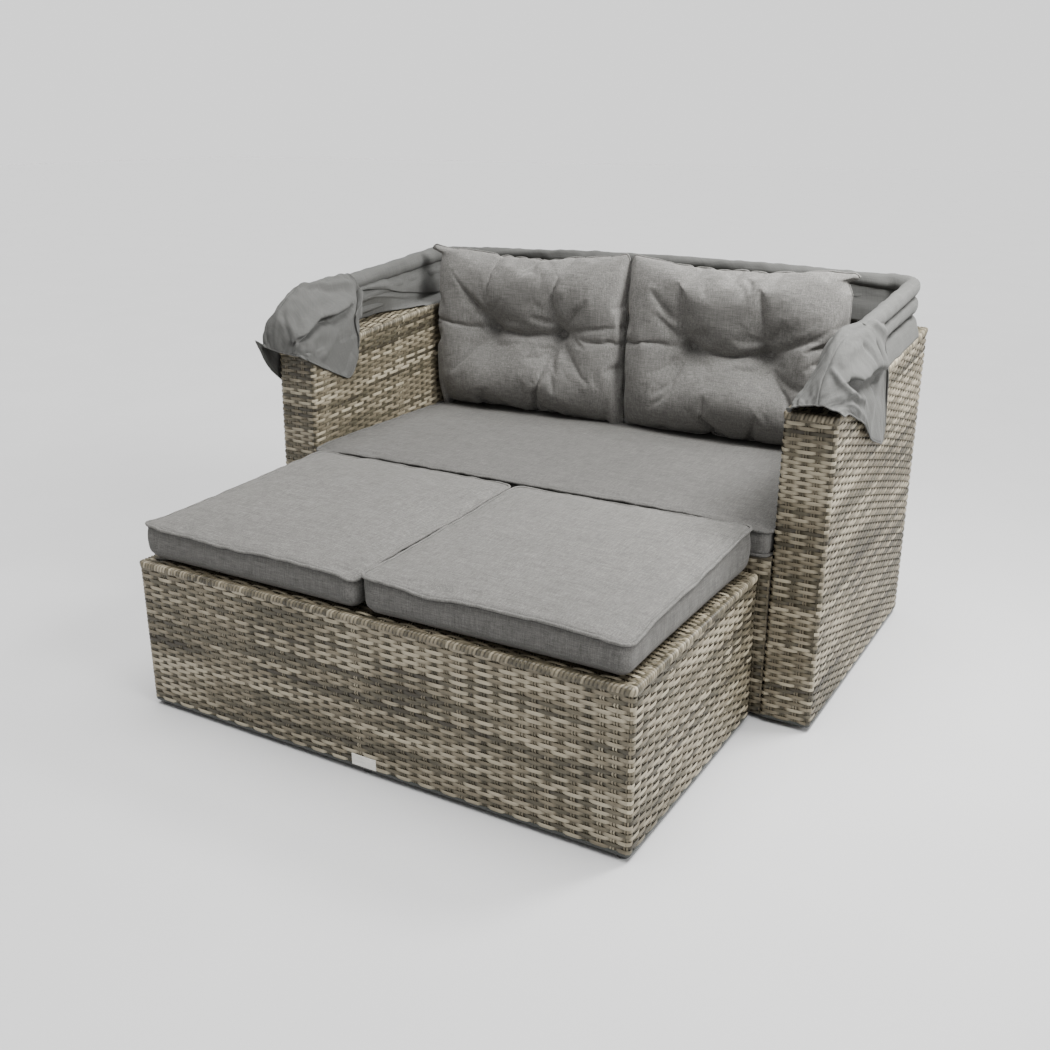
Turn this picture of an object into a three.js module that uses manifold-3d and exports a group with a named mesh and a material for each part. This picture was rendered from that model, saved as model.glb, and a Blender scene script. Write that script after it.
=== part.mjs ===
// An outdoor daybed: a woven two-seat sofa with a folding sun canopy and a matching ottoman.
// Millimetres. X runs along the seat, Y from the front to the back, Z up, the floor at zero.
import * as THREE from 'three';
import Module from 'manifold-3d';
import { mergeVertices } from 'three/addons/utils/BufferGeometryUtils.js';

const wasm = await Module();
wasm.setup();

// Driving sizes of the sofa
const sofa_width = 1500;
const sofa_depth = 790;
const arm_width = 115;
const arm_front_height = 715;
const arm_rear_height = 787;
const arm_front_lean = 17;
const back_thickness = 90;
const seat_deck_height = 394;
const ground_clearance = 12;
const weave_thickness = 5;
const weave_corner_radius = 10;
const weave_inner_radius = 1;
const deck_thickness = 8;

// Driving sizes of the ottoman
const ottoman_width = 1226;
const ottoman_depth = 622;
const ottoman_height = 357;
const ottoman_gap = 12;

// Tubes, feet and fasteners
const tube_size = 20;
const foot_radius = 13;
const foot_flare = 3;
const foot_seat_height = 14;
const foot_inset = 22;
const bolt_radius = 4;
const back_bolt_below_rail = 94.3;
const bolt_head_radius = 7;
const bolt_head_height = 5;
const screw_radius = 2.5;
const screw_head_radius = 5;
const screw_head_height = 3;
const hole_clearance = 0.3;

// Canopy bows and the brackets that they turn on
const bow_tube_radius = 9.5;
const bow_outer_inset = 28;
const bow_back_inset = 43;
const bow_corner_radius = 70;
const bow_crossbar_crown = 14;
const rear_bow_rise = 38;
const middle_bow_rise = 80;
const front_bow_rise = 121;
const pivot_from_front = 170;
const bow_end_thickness = 4;
const bow_end_reach = 58;
const bow_end_lap = 13;
const bow_end_tip_radius = 7.6;
const bracket_thickness = 5;
const bracket_width = 46;
const bracket_flange = 42;
const bracket_screw_spacing = 24;
const knob_radius = 16;
const knob_height = 18;
const knob_lobes = 6;
const knob_lobe_depth = 2.5;
const bow_rest_radius = 11;
const bow_rest_waist_radius = 6.5;
const bow_rest_head_radius = 9;
const bow_rest_from_side = 320;

// Cloth
const sleeve_wall = 5;
const band_wall = 3;
const band_flare = 12;
const fold_thickness = 12;
const fold_shoulder_share = 0.85;
const fold_hem_share = 0.25;
const fold_start_from_front = 345;
const sleeve_start_from_front = 228;
const cloth_thickness = 4;
const cloth_clearance = 8;

// Cushions
const cushion_gap = 6;
const seat_cushion_thickness = 80;
const seat_cushion_crown = 5;
const ottoman_cushion_thickness = 98;
const ottoman_cushion_crown = 16;
const ottoman_cushion_margin = 12;
const back_cushion_height = 468;
const back_cushion_thickness = 132;
const back_cushion_lean = 14;
const cushion_side_draw = 5;
const cushion_corner_radius = 26;
const tuft_spacing = 200;
const tuft_depth = 34;
const tuft_radius = 70;
const crease_width = 26;

// Blank tag on the ottoman
const tag_width = 62;
const tag_height = 25;
const tag_thickness = 1.5;
const tag_from_left = 585;
const tag_above_floor = 18;

// Gap between pieces that touch, and the length by which a cutting tool overruns
const seat_gap = 0.3;
const cut_overrun = 5;

// Facets on round shapes
const tube_sides = 10;
const round_sides = 16;
const corner_facets = 3;
const bend_facets = 6;

// Finishes
const finish = {
  weave: { color: 0x9c8f7b, roughness: 0.62, metalness: 0 },
  frame: { color: 0x3a3936, roughness: 0.5, metalness: 0.6 },
  bow: { color: 0x8d9094, roughness: 0.35, metalness: 0.85 },
  steel: { color: 0xb4b6b8, roughness: 0.3, metalness: 0.9 },
  plastic: { color: 0x1b1b1b, roughness: 0.55, metalness: 0 },
  cushion: { color: 0x85837f, roughness: 0.95, metalness: 0 },
  canopy: { color: 0x94928f, roughness: 0.95, metalness: 0 },
};
const materials = {};
for (const name of Object.keys(finish)) {
  materials[name] = new THREE.MeshStandardMaterial(finish[name]);
}

// Places worked out from the driving sizes
const half_width = sofa_width / 2;
const arm_inside = half_width - arm_width;
const arm_slope = (arm_rear_height - arm_front_height) / sofa_depth;
const slope_angle = Math.atan(arm_slope);
const back_front = sofa_depth - back_thickness;
const ottoman_front = -ottoman_gap - ottoman_depth;
const ottoman_rear = -ottoman_gap;
const tag_front = ottoman_front - seat_gap - tag_thickness;
const middle_of_set = (tag_front + sofa_depth) / 2;
const bow_x = half_width - bow_outer_inset;
const bow_y = sofa_depth - bow_back_inset;
const tube_inset = weave_thickness + seat_gap + tube_size / 2;
const tube_tilt = tube_size / 2 * Math.abs(arm_slope);
const tube_drop = tube_inset + tube_tilt;

function armTop(y) {
  return arm_front_height + arm_slope * y;
}

// Solids and meshes
function toSolid(geometry) {
  const bare = geometry.clone();
  for (const attribute of ['normal', 'uv']) {
    if (bare.getAttribute(attribute)) {
      bare.deleteAttribute(attribute);
    }
  }
  const merged = mergeVertices(bare);
  const vertProperties = new Float32Array(merged.getAttribute('position').array);
  const triVerts = new Uint32Array(merged.getIndex().array);
  return new wasm.Manifold(new wasm.Mesh({ numProp: 3, vertProperties, triVerts }));
}

function toGeometry(solid) {
  const mesh = solid.getMesh();
  const geometry = new THREE.BufferGeometry();
  geometry.setAttribute('position', new THREE.BufferAttribute(new Float32Array(mesh.vertProperties), 3));
  geometry.setIndex(new THREE.BufferAttribute(new Uint32Array(mesh.triVerts), 1));
  return geometry;
}

function join(geometries) {
  return toGeometry(geometries.map(toSolid).reduce((whole, next) => whole.add(next)));
}

function cut(geometry, cutters) {
  return toGeometry(cutters.map(toSolid).reduce((whole, next) => whole.subtract(next), toSolid(geometry)));
}

function mirrored(geometry) {
  const copy = geometry.index ? geometry.toNonIndexed() : geometry.clone();
  copy.scale(-1, 1, 1);
  const position = copy.getAttribute('position');
  for (let i = 0; i < position.count; i += 3) {
    const second = new THREE.Vector3().fromBufferAttribute(position, i + 1);
    const third = new THREE.Vector3().fromBufferAttribute(position, i + 2);
    position.setXYZ(i + 1, third.x, third.y, third.z);
    position.setXYZ(i + 2, second.x, second.y, second.z);
  }
  for (const attribute of ['normal', 'uv']) {
    if (copy.getAttribute(attribute)) {
      copy.deleteAttribute(attribute);
    }
  }
  return mergeVertices(copy);
}

const set = new THREE.Group();
set.position.y = -middle_of_set;

function add(name, geometry, material) {
  const mesh = new THREE.Mesh(geometry, materials[material]);
  mesh.name = name;
  set.add(mesh);
  return mesh;
}

function addPair(name, right_geometry, material) {
  add(`right_${name}`, right_geometry, material);
  add(`left_${name}`, mirrored(right_geometry), material);
}

// A box given by its lowest and highest corners
function block(low, high) {
  const size = high.map((value, axis) => value - low[axis]);
  const geometry = new THREE.BoxGeometry(...size);
  geometry.translate(...low.map((value, axis) => value + size[axis] / 2));
  return geometry;
}

// A square tube of the frames between two points
function beam(start, end) {
  const from = new THREE.Vector3(...start);
  const along = new THREE.Vector3(...end).sub(from);
  const geometry = new THREE.BoxGeometry(tube_size, tube_size, along.length() + tube_size);
  const upward = new THREE.Vector3(0, 0, 1);
  const turn = new THREE.Quaternion().setFromUnitVectors(upward, along.clone().normalize());
  geometry.applyQuaternion(turn);
  geometry.translate(...from.addScaledVector(along, 1 / 2).toArray());
  return geometry;
}

// A round bar along X, Y or Z from a start point
function rod(radius, length, axis, start, sides = round_sides) {
  const geometry = new THREE.CylinderGeometry(radius, radius, length, sides);
  if (axis === 'x') {
    geometry.rotateZ(-Math.PI / 2);
    geometry.translate(length / 2, 0, 0);
  } else if (axis === 'z') {
    geometry.rotateX(Math.PI / 2);
    geometry.translate(0, 0, length / 2);
  } else {
    geometry.translate(0, length / 2, 0);
  }
  geometry.translate(...start);
  return geometry;
}

function roundedRectangle(width, depth, radius) {
  const shape = new THREE.Shape();
  const x = width / 2;
  const y = depth / 2;
  shape.moveTo(x - radius, -y);
  shape.absarc(x - radius, radius - y, radius, -Math.PI / 2, 0);
  shape.absarc(x - radius, y - radius, radius, 0, Math.PI / 2);
  shape.absarc(radius - x, y - radius, radius, Math.PI / 2, Math.PI);
  shape.absarc(radius - x, radius - y, radius, Math.PI, Math.PI * 3 / 2);
  return shape;
}

// An upright prism with round corners, whose top follows the arm's slope and whose front leans back
function uprightPrism(low, high, radius, topAt, lean) {
  const shape = roundedRectangle(high[0] - low[0], high[1] - low[1], radius);
  const geometry = new THREE.ExtrudeGeometry(shape, {
    depth: 1,
    bevelEnabled: false,
    curveSegments: corner_facets,
  });
  geometry.translate((low[0] + high[0]) / 2, (low[1] + high[1]) / 2, 0);
  const position = geometry.getAttribute('position');
  for (let i = 0; i < position.count; i += 1) {
    const y = position.getY(i);
    const share = (high[1] - y) / (high[1] - low[1]);
    const on_top = position.getZ(i) > 1 / 2;
    const leant = y + (on_top ? lean * share : 0);
    position.setY(i, leant);
    position.setZ(i, on_top ? topAt(leant) : low[2]);
  }
  return geometry;
}

// A woven box: outer prism less an inner one, open below
function wovenShell(low, high, topAt, lean) {
  const wall = weave_thickness;
  const outer = uprightPrism(low, high, weave_corner_radius, topAt, lean);
  const inner = uprightPrism(
    [low[0] + wall, low[1] + wall, low[2] - cut_overrun],
    [high[0] - wall, high[1] - wall, high[2]],
    weave_inner_radius,
    (y) => topAt(y) - wall,
    lean,
  );
  return cut(outer, [inner]);
}

// Frames of square tube, welded at their corners
function loopOf(points) {
  return points.map((point, i) => beam(point, points[(i + 1) % points.length]));
}

const frame_low = foot_seat_height + tube_size / 2;
const seat_rail_z = seat_deck_height - deck_thickness - seat_gap - tube_size / 2;
const arm_tube_inner_x = arm_inside + tube_inset;
const arm_tube_outer_x = half_width - tube_inset;
const front_tube_y = arm_front_lean + tube_inset + tube_tilt;
const rear_tube_y = sofa_depth - tube_inset - tube_tilt;
const seat_bolt_ys = [back_front / 10, back_front * 9 / 10];
const back_bolt_z = armTop(rear_tube_y) - tube_drop - back_bolt_below_rail;
const side_rail_x = arm_inside - seat_gap - tube_size / 2;
const back_side_x = arm_inside - seat_gap - tube_inset;
const bolt_head_x = side_rail_x - tube_size / 2 - seat_gap - bolt_head_height;
const bolt_length = arm_tube_inner_x + tube_size / 2 - (side_rail_x - tube_size / 2 - seat_gap);
const back_bolt_head_x = back_side_x - tube_size / 2 - seat_gap - bolt_head_height;
const back_bolt_length = arm_tube_inner_x + tube_size / 2 - (back_side_x - tube_size / 2 - seat_gap);
const bracket_foot = new THREE.Vector3(0, pivot_from_front, armTop(pivot_from_front));
const slope_normal = new THREE.Vector3(0, -Math.sin(slope_angle), Math.cos(slope_angle));
const slope_run = new THREE.Vector3(0, Math.cos(slope_angle), Math.sin(slope_angle));
const pivot = bracket_foot.clone().addScaledVector(slope_normal, middle_bow_rise * Math.cos(slope_angle));

// Side by side along X: the bracket, then the flat ends of the rear, middle and front bows
const end_pitch = bow_end_thickness + seat_gap;
const bow_end_x = { rear: bow_x - end_pitch, middle: bow_x, front: bow_x + end_pitch };
const bracket_x = bow_end_x.rear - bow_end_thickness / 2 - seat_gap - bracket_thickness / 2;
const flange_x = bracket_x - bracket_thickness / 2 - bracket_flange / 2;

function screwPlace(side) {
  return bracket_foot.clone().addScaledVector(slope_run, side * bracket_screw_spacing / 2).setX(flange_x);
}

// A hole square to the arm's top for one bracket screw
function screwHole(side, radius) {
  const depth = weave_thickness + tube_size + bracket_thickness;
  const hole = new THREE.CylinderGeometry(radius, radius, 2 * depth, round_sides / 2);
  hole.rotateX(Math.PI / 2 + slope_angle);
  hole.translate(...screwPlace(side).toArray());
  return hole;
}

function boltHole(y, z, head_x, length) {
  const reach = bolt_head_height + length + 2 * cut_overrun;
  return rod(bolt_radius + hole_clearance, reach, 'x', [head_x - cut_overrun, y, z]);
}

function seatBoltHoles() {
  return seat_bolt_ys.map((y) => boltHole(y, seat_rail_z, bolt_head_x, bolt_length));
}

function backBoltHole() {
  return boltHole(rear_tube_y, back_bolt_z, back_bolt_head_x, back_bolt_length);
}

function armHoles() {
  const screws = [-1, 1].map((side) => screwHole(side, screw_radius + hole_clearance));
  return [...seatBoltHoles(), backBoltHole(), ...screws];
}

function armFrame() {
  const loops = [arm_tube_inner_x, arm_tube_outer_x].map((x) => loopOf([
    [x, front_tube_y, frame_low],
    [x, rear_tube_y, frame_low],
    [x, rear_tube_y, armTop(rear_tube_y) - tube_drop],
    [x, front_tube_y, armTop(front_tube_y) - tube_drop],
  ]));
  const spacers = [
    [front_tube_y, frame_low],
    [rear_tube_y, frame_low],
    [front_tube_y, armTop(front_tube_y) - tube_drop],
    [rear_tube_y, armTop(rear_tube_y) - tube_drop],
    [pivot_from_front - tube_size, armTop(pivot_from_front - tube_size) - tube_drop],
    [pivot_from_front + tube_size, armTop(pivot_from_front + tube_size) - tube_drop],
  ].map(([y, z]) => beam([arm_tube_inner_x, y, z], [arm_tube_outer_x, y, z]));
  const ledger_ends = [front_tube_y, rear_tube_y].map((y) => [arm_tube_inner_x, y, seat_rail_z]);
  const ledger = beam(...ledger_ends);
  return cut(join([...loops.flat(), ...spacers, ledger]), armHoles());
}

function armWeave() {
  const shell = wovenShell(
    [arm_inside, 0, ground_clearance],
    [half_width, sofa_depth, arm_rear_height],
    armTop,
    arm_front_lean,
  );
  return cut(shell, armHoles());
}

function seatFrame() {
  const front_y = weave_thickness + 2 * seat_gap + arm_front_lean;
  const rear_y = back_front - seat_gap - tube_size / 2;
  const x = side_rail_x;
  const front_top = [front_y, seat_rail_z];
  const rear_top = [rear_y, seat_rail_z];
  const front_low = [front_y, frame_low];
  const rails = [front_top, rear_top, front_low].map((at) => beam([-x, ...at], [x, ...at]));
  const shares = [-1, -1 / 2, 0, 1 / 2, 1];
  const slats = shares.map((share) => beam([x * share, ...front_top], [x * share, ...rear_top]));
  const posts = shares.map((share) => beam([x * share, ...front_low], [x * share, ...front_top]));
  const holes = seatBoltHoles();
  return cut(join([...rails, ...slats, ...posts]), [...holes, ...holes.map(mirrored)]);
}

function backFrame() {
  const low_z = frame_low;
  const ys = [back_front + tube_inset + tube_tilt, rear_tube_y];
  const loops = ys.map((y) => loopOf([
    [-back_side_x, y, low_z],
    [back_side_x, y, low_z],
    [back_side_x, y, armTop(y) - tube_drop],
    [-back_side_x, y, armTop(y) - tube_drop],
  ]));
  const tops = ys.map((y) => armTop(y) - tube_drop);
  const post_shares = [-1, -1 / 3, 1 / 3, 1];
  const ties = post_shares.flatMap((share) => [
    [[ys[0], low_z], [ys[1], low_z]],
    [[ys[0], tops[0]], [ys[1], tops[1]]],
    [[ys[0], low_z], [ys[0], tops[0]]],
  ].map((ends) => beam(...ends.map(([y, z]) => [back_side_x * share, y, z]))));
  return cut(join([...loops.flat(), ...ties]), [backBoltHole(), mirrored(backBoltHole())]);
}

function backWeave() {
  const x = arm_inside - seat_gap;
  const shell = wovenShell([-x, back_front, ground_clearance], [x, sofa_depth, arm_rear_height], armTop, 0);
  return cut(shell, [backBoltHole(), mirrored(backBoltHole())]);
}

function hexBolt(head_x, length, y, z) {
  const head = rod(bolt_head_radius, bolt_head_height, 'x', [head_x, y, z], 6);
  const shank = rod(bolt_radius, length, 'x', [head_x + bolt_head_height, y, z], tube_sides);
  return join([head, shank]);
}

function foot(x, y) {
  const profile = [
    [0, 0],
    [foot_radius, 0],
    [foot_radius, foot_flare],
    [foot_radius - foot_flare, foot_seat_height - seat_gap],
    [0, foot_seat_height - seat_gap],
  ].map((point) => new THREE.Vector2(...point));
  const geometry = new THREE.LatheGeometry(profile, round_sides);
  geometry.rotateX(Math.PI / 2);
  geometry.translate(x, y, 0);
  return geometry;
}

// The sofa's carcass
addPair('arm_frame', armFrame(), 'frame');
addPair('arm_weave', armWeave(), 'weave');
add('back_frame', backFrame(), 'frame');
add('back_weave', backWeave(), 'weave');
add('seat_frame', seatFrame(), 'frame');
const apron_y = arm_front_lean - tube_size / 2;
add('seat_front_weave', block(
  [-arm_inside + seat_gap, apron_y, ground_clearance],
  [arm_inside - seat_gap, apron_y + weave_thickness, seat_deck_height - deck_thickness],
), 'weave');
add('seat_deck_weave', block(
  [-arm_inside + seat_gap, apron_y, seat_deck_height - deck_thickness + seat_gap],
  [arm_inside - seat_gap, back_front - seat_gap, seat_deck_height],
), 'weave');
const [front_bolt_y, rear_bolt_y] = seat_bolt_ys;
addPair('seat_bolt_front', hexBolt(bolt_head_x, bolt_length, front_bolt_y, seat_rail_z), 'steel');
addPair('seat_bolt_rear', hexBolt(bolt_head_x, bolt_length, rear_bolt_y, seat_rail_z), 'steel');
addPair('back_bolt', hexBolt(back_bolt_head_x, back_bolt_length, rear_tube_y, back_bolt_z), 'steel');
addPair('front_foot', foot(half_width - foot_inset, front_tube_y), 'plastic');
addPair('rear_foot', foot(half_width - foot_inset, rear_tube_y), 'plastic');

// The ottoman
function ottomanFrame() {
  const x = ottoman_width / 2 - tube_inset;
  const ys = [ottoman_front + tube_inset, ottoman_rear - tube_inset];
  const top_z = ottoman_height - weave_thickness - seat_gap - tube_size / 2;
  const corners = [[-x, ys[0]], [x, ys[0]], [x, ys[1]], [-x, ys[1]]];
  const loops = [frame_low, top_z].map((z) => loopOf(corners.map((corner) => [...corner, z])));
  const post_places = [...corners, [0, ys[0]], [0, ys[1]]];
  const posts = post_places.map((place) => beam([...place, frame_low], [...place, top_z]));
  const slat_xs = [-x / 2, 0, x / 2];
  const slats = slat_xs.map((slat_x) => beam([slat_x, ys[0], top_z], [slat_x, ys[1], top_z]));
  return join([...loops.flat(), ...posts, ...slats]);
}

add('ottoman_frame', ottomanFrame(), 'frame');
add('ottoman_weave', wovenShell(
  [-ottoman_width / 2, ottoman_front, ground_clearance],
  [ottoman_width / 2, ottoman_rear, ottoman_height],
  () => ottoman_height,
  0,
), 'weave');
addPair('ottoman_front_foot', foot(ottoman_width / 2 - foot_inset, ottoman_front + foot_inset), 'plastic');
addPair('ottoman_rear_foot', foot(ottoman_width / 2 - foot_inset, ottoman_rear - foot_inset), 'plastic');
add('ottoman_front_middle_foot', foot(0, ottoman_front + foot_inset), 'plastic');
add('ottoman_rear_middle_foot', foot(0, ottoman_rear - foot_inset), 'plastic');
add('ottoman_tag', block(
  [tag_from_left - ottoman_width / 2, tag_front, tag_above_floor],
  [tag_from_left - ottoman_width / 2 + tag_width, ottoman_front - seat_gap, tag_above_floor + tag_height],
), 'steel');

// Brackets, built flat and then turned to the arm's slope
function onArmTop(geometry) {
  geometry.rotateX(slope_angle);
  geometry.translate(0, bracket_foot.y, bracket_foot.z);
  return geometry;
}

const pivot_above_arm = middle_bow_rise * Math.cos(slope_angle);

function bracketPlate() {
  const shape = new THREE.Shape();
  const half = bracket_width / 2;
  shape.moveTo(-half, seat_gap);
  shape.lineTo(half, seat_gap);
  shape.lineTo(half, pivot_above_arm);
  shape.absarc(0, pivot_above_arm, half, 0, Math.PI);
  const plate = new THREE.ExtrudeGeometry(shape, {
    depth: bracket_thickness,
    bevelEnabled: false,
    curveSegments: round_sides / 2,
  });
  plate.rotateX(Math.PI / 2);
  plate.rotateZ(Math.PI / 2);
  plate.translate(bracket_x - bracket_thickness / 2, 0, 0);
  const flange = block(
    [flange_x - bracket_flange / 2, -half, seat_gap],
    [bracket_x + bracket_thickness / 2, half, seat_gap + bracket_thickness],
  );
  const pivot_hole = rod(
    bolt_radius + hole_clearance,
    bracket_thickness + 2 * cut_overrun,
    'x',
    [bracket_x - bracket_thickness / 2 - cut_overrun, 0, pivot_above_arm],
    tube_sides,
  );
  const screw_holes = [-1, 1].map((side) => rod(
    screw_radius + hole_clearance,
    bracket_thickness + 2 * cut_overrun,
    'z',
    [flange_x, side * bracket_screw_spacing / 2, seat_gap - cut_overrun],
    round_sides / 2,
  ));
  return onArmTop(cut(join([plate, flange]), [pivot_hole, ...screw_holes]));
}

function bracketScrew(side) {
  const y = side * bracket_screw_spacing / 2;
  const top = 2 * seat_gap + bracket_thickness;
  const length = top + weave_thickness + tube_size / 2;
  const head = rod(screw_head_radius, screw_head_height, 'z', [flange_x, y, top], round_sides / 2);
  const shank = rod(screw_radius, length, 'z', [flange_x, y, top - length], round_sides / 2);
  return onArmTop(join([head, shank]));
}

const pivot_head_x = bow_end_x.front + bow_end_thickness / 2 + seat_gap;
const knob_x = bracket_x - bracket_thickness / 2 - seat_gap;
const thread_past_knob = 4;
const pivot_bolt_end = knob_x - knob_height - thread_past_knob;

function pivotBolt() {
  const head = rod(bolt_head_radius, bolt_head_height, 'x', [pivot_head_x, pivot.y, pivot.z], tube_sides);
  const length = pivot_head_x - pivot_bolt_end;
  const shank = rod(bolt_radius, length, 'x', [pivot_bolt_end, pivot.y, pivot.z], tube_sides);
  return join([head, shank]);
}

function pivotKnob() {
  const shape = new THREE.Shape();
  const points = 4 * knob_lobes;
  for (let i = 0; i < points; i += 1) {
    const angle = i / points * 2 * Math.PI;
    const radius = knob_radius - knob_lobe_depth * (1 - Math.cos(knob_lobes * angle)) / 2;
    const place = [radius * Math.cos(angle), radius * Math.sin(angle)];
    if (i === 0) {
      shape.moveTo(...place);
    } else {
      shape.lineTo(...place);
    }
  }
  const hole = new THREE.Path();
  hole.absarc(0, 0, bolt_radius + hole_clearance, 0, 2 * Math.PI, true);
  shape.holes.push(hole);
  const geometry = new THREE.ExtrudeGeometry(shape, {
    depth: knob_height,
    bevelEnabled: false,
    curveSegments: tube_sides / 2,
  });
  geometry.rotateY(-Math.PI / 2);
  geometry.translate(knob_x, pivot.y, pivot.z);
  return geometry;
}

addPair('canopy_bracket', bracketPlate(), 'steel');
addPair('bracket_screw_front', bracketScrew(-1), 'steel');
addPair('bracket_screw_rear', bracketScrew(1), 'steel');
addPair('pivot_bolt', pivotBolt(), 'steel');
addPair('pivot_knob', pivotKnob(), 'plastic');

// The plan of a bow from its left end round the back to its right end: a place and the way out from it
function bowPlan(start_y) {
  const radius = bow_corner_radius;
  const right = [{ x: bow_x, y: start_y, out: [1, 0] }];
  const leg_steps = 3;
  for (let i = 1; i < leg_steps; i += 1) {
    right.push({ x: bow_x, y: start_y + (bow_y - radius - start_y) * i / leg_steps, out: [1, 0] });
  }
  for (let i = 0; i <= bend_facets; i += 1) {
    const angle = i / bend_facets * Math.PI / 2;
    const out = [Math.cos(angle), Math.sin(angle)];
    right.push({ x: bow_x - radius + radius * out[0], y: bow_y - radius + radius * out[1], out });
  }
  const crossbar_shares = [0.5];
  for (const share of crossbar_shares) {
    right.push({ x: (bow_x - radius) * share, y: bow_y, out: [0, 1] });
  }
  const left = right.map(({ x, y, out }) => ({ x: -x, y, out: [-out[0], out[1]] }));
  return [...left, { x: 0, y: bow_y, out: [0, 1] }, ...right.reverse()];
}

function bowHeight(place, rise) {
  const half = bow_x - bow_corner_radius;
  const share = Math.min(1, Math.abs(place.x) / half);
  const crown = place.y > bow_y - bow_corner_radius ? bow_crossbar_crown * (1 - share * share) : 0;
  return armTop(place.y) + rise + crown;
}

// A path through fixed places, so that bends get more places than straights
class PlacedCurve extends THREE.Curve {
  constructor(places) {
    super();
    this.places = places;
  }

  getPoint(share, target = new THREE.Vector3()) {
    const at = share * (this.places.length - 1);
    const first = Math.min(Math.floor(at), this.places.length - 2);
    return target.lerpVectors(this.places[first], this.places[first + 1], at - first);
  }

  getPointAt(share, target) {
    return this.getPoint(share, target);
  }

  getTangentAt(share, target = new THREE.Vector3()) {
    const last = this.places.length - 1;
    const at = Math.round(share * last);
    const before = this.places[Math.max(at - 1, 0)];
    const after = this.places[Math.min(at + 1, last)];
    return target.subVectors(after, before).normalize();
  }
}

function roundSection(outer, inner) {
  const shape = new THREE.Shape();
  shape.absarc(0, 0, outer, 0, 2 * Math.PI);
  if (inner > 0) {
    const hole = new THREE.Path();
    hole.absarc(0, 0, inner, 0, 2 * Math.PI, true);
    shape.holes.push(hole);
  }
  return shape;
}

// A full circle gets two sides from each of its curve segments
function alongBow(rise, start_y, section) {
  const plan = bowPlan(start_y);
  const places = plan.map((place) => new THREE.Vector3(place.x, place.y, bowHeight(place, rise)));
  const path = new PlacedCurve(places);
  return new THREE.ExtrudeGeometry(section, {
    steps: plan.length - 1,
    bevelEnabled: false,
    curveSegments: tube_sides / 2,
    extrudePath: path,
  });
}

// The flat end of a bow, from the pivot to where its round tube starts
function bowEnd(x, rise, start_y) {
  const lap_y = start_y + bow_end_lap;
  const reach = new THREE.Vector2(lap_y - pivot.y, armTop(lap_y) + rise - pivot.z);
  const shape = new THREE.Shape();
  shape.absarc(0, 0, bow_tube_radius, Math.PI / 2, Math.PI * 3 / 2);
  shape.absarc(reach.length(), 0, bow_end_tip_radius, -Math.PI / 2, Math.PI / 2);
  const hole = new THREE.Path();
  hole.absarc(0, 0, bolt_radius + hole_clearance, 0, 2 * Math.PI, true);
  shape.holes.push(hole);
  const geometry = new THREE.ExtrudeGeometry(shape, {
    depth: bow_end_thickness,
    bevelEnabled: false,
    curveSegments: tube_sides / 2,
  });
  geometry.rotateZ(reach.angle());
  geometry.rotateX(Math.PI / 2);
  geometry.rotateZ(Math.PI / 2);
  geometry.translate(x - bow_end_thickness / 2, pivot.y, pivot.z);
  return geometry;
}

function bow(rise, end_x) {
  const offset = rise - middle_bow_rise;
  const start_y = pivot.y + Math.sqrt(bow_end_reach * bow_end_reach - offset * offset);
  const end = bowEnd(end_x, rise, start_y);
  return join([alongBow(rise, start_y, roundSection(bow_tube_radius, 0)), end, mirrored(end)]);
}

add('rear_bow', bow(rear_bow_rise, bow_end_x.rear), 'bow');
add('middle_bow', bow(middle_bow_rise, bow_end_x.middle), 'bow');
add('front_bow', bow(front_bow_rise, bow_end_x.front), 'bow');

const sleeve_inner = (bow_tube_radius + seat_gap) / Math.cos(Math.PI / tube_sides);
const sleeve_outer = sleeve_inner + sleeve_wall;
for (const [name, rise] of [['middle', middle_bow_rise], ['front', front_bow_rise]]) {
  const section = roundSection(sleeve_outer, sleeve_inner);
  add(`canopy_${name}_sleeve`, alongBow(rise, sleeve_start_from_front, section), 'canopy');
}

// Rings of points joined into one closed body, the ends closed over the outline of a section
function loft(rings, outline) {
  const count = outline.length;
  const positions = rings.flat().flatMap((point) => [point.x, point.y, point.z]);
  const indices = [];
  for (let j = 0; j + 1 < rings.length; j += 1) {
    for (let i = 0; i < count; i += 1) {
      const next = (i + 1) % count;
      const near = j * count;
      const far = near + count;
      indices.push(near + i, near + next, far + next, near + i, far + next, far + i);
    }
  }
  const last = (rings.length - 1) * count;
  const clockwise = THREE.ShapeUtils.isClockWise(outline);
  for (const cap of THREE.ShapeUtils.triangulateShape(outline, [])) {
    const turned = THREE.ShapeUtils.isClockWise(cap.map((i) => outline[i])) !== clockwise;
    const [a, b, c] = turned ? cap.reverse() : cap;
    indices.push(c, b, a, last + a, last + b, last + c);
  }
  const geometry = new THREE.BufferGeometry();
  geometry.setAttribute('position', new THREE.BufferAttribute(new Float32Array(positions), 3));
  geometry.setIndex(indices);
  return outward(geometry);
}

// Turns a closed body the right way out
function outward(geometry) {
  const position = geometry.getAttribute('position');
  const index = geometry.getIndex();
  const corner = [0, 1, 2].map(() => new THREE.Vector3());
  let volume = 0;
  for (let i = 0; i < index.count; i += 3) {
    corner.forEach((point, k) => point.fromBufferAttribute(position, index.getX(i + k)));
    volume += corner[0].dot(corner[1].clone().cross(corner[2]));
  }
  if (volume < 0) {
    for (let i = 0; i < index.count; i += 3) {
      const second = index.getX(i + 1);
      index.setX(i + 1, index.getX(i + 2));
      index.setX(i + 2, second);
    }
  }
  return geometry;
}

// A point beside a bow: so far out from it, and at a height
function beside(place, out, z) {
  return new THREE.Vector3(place.x + place.out[0] * out, place.y + place.out[1] * out, z);
}

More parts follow.
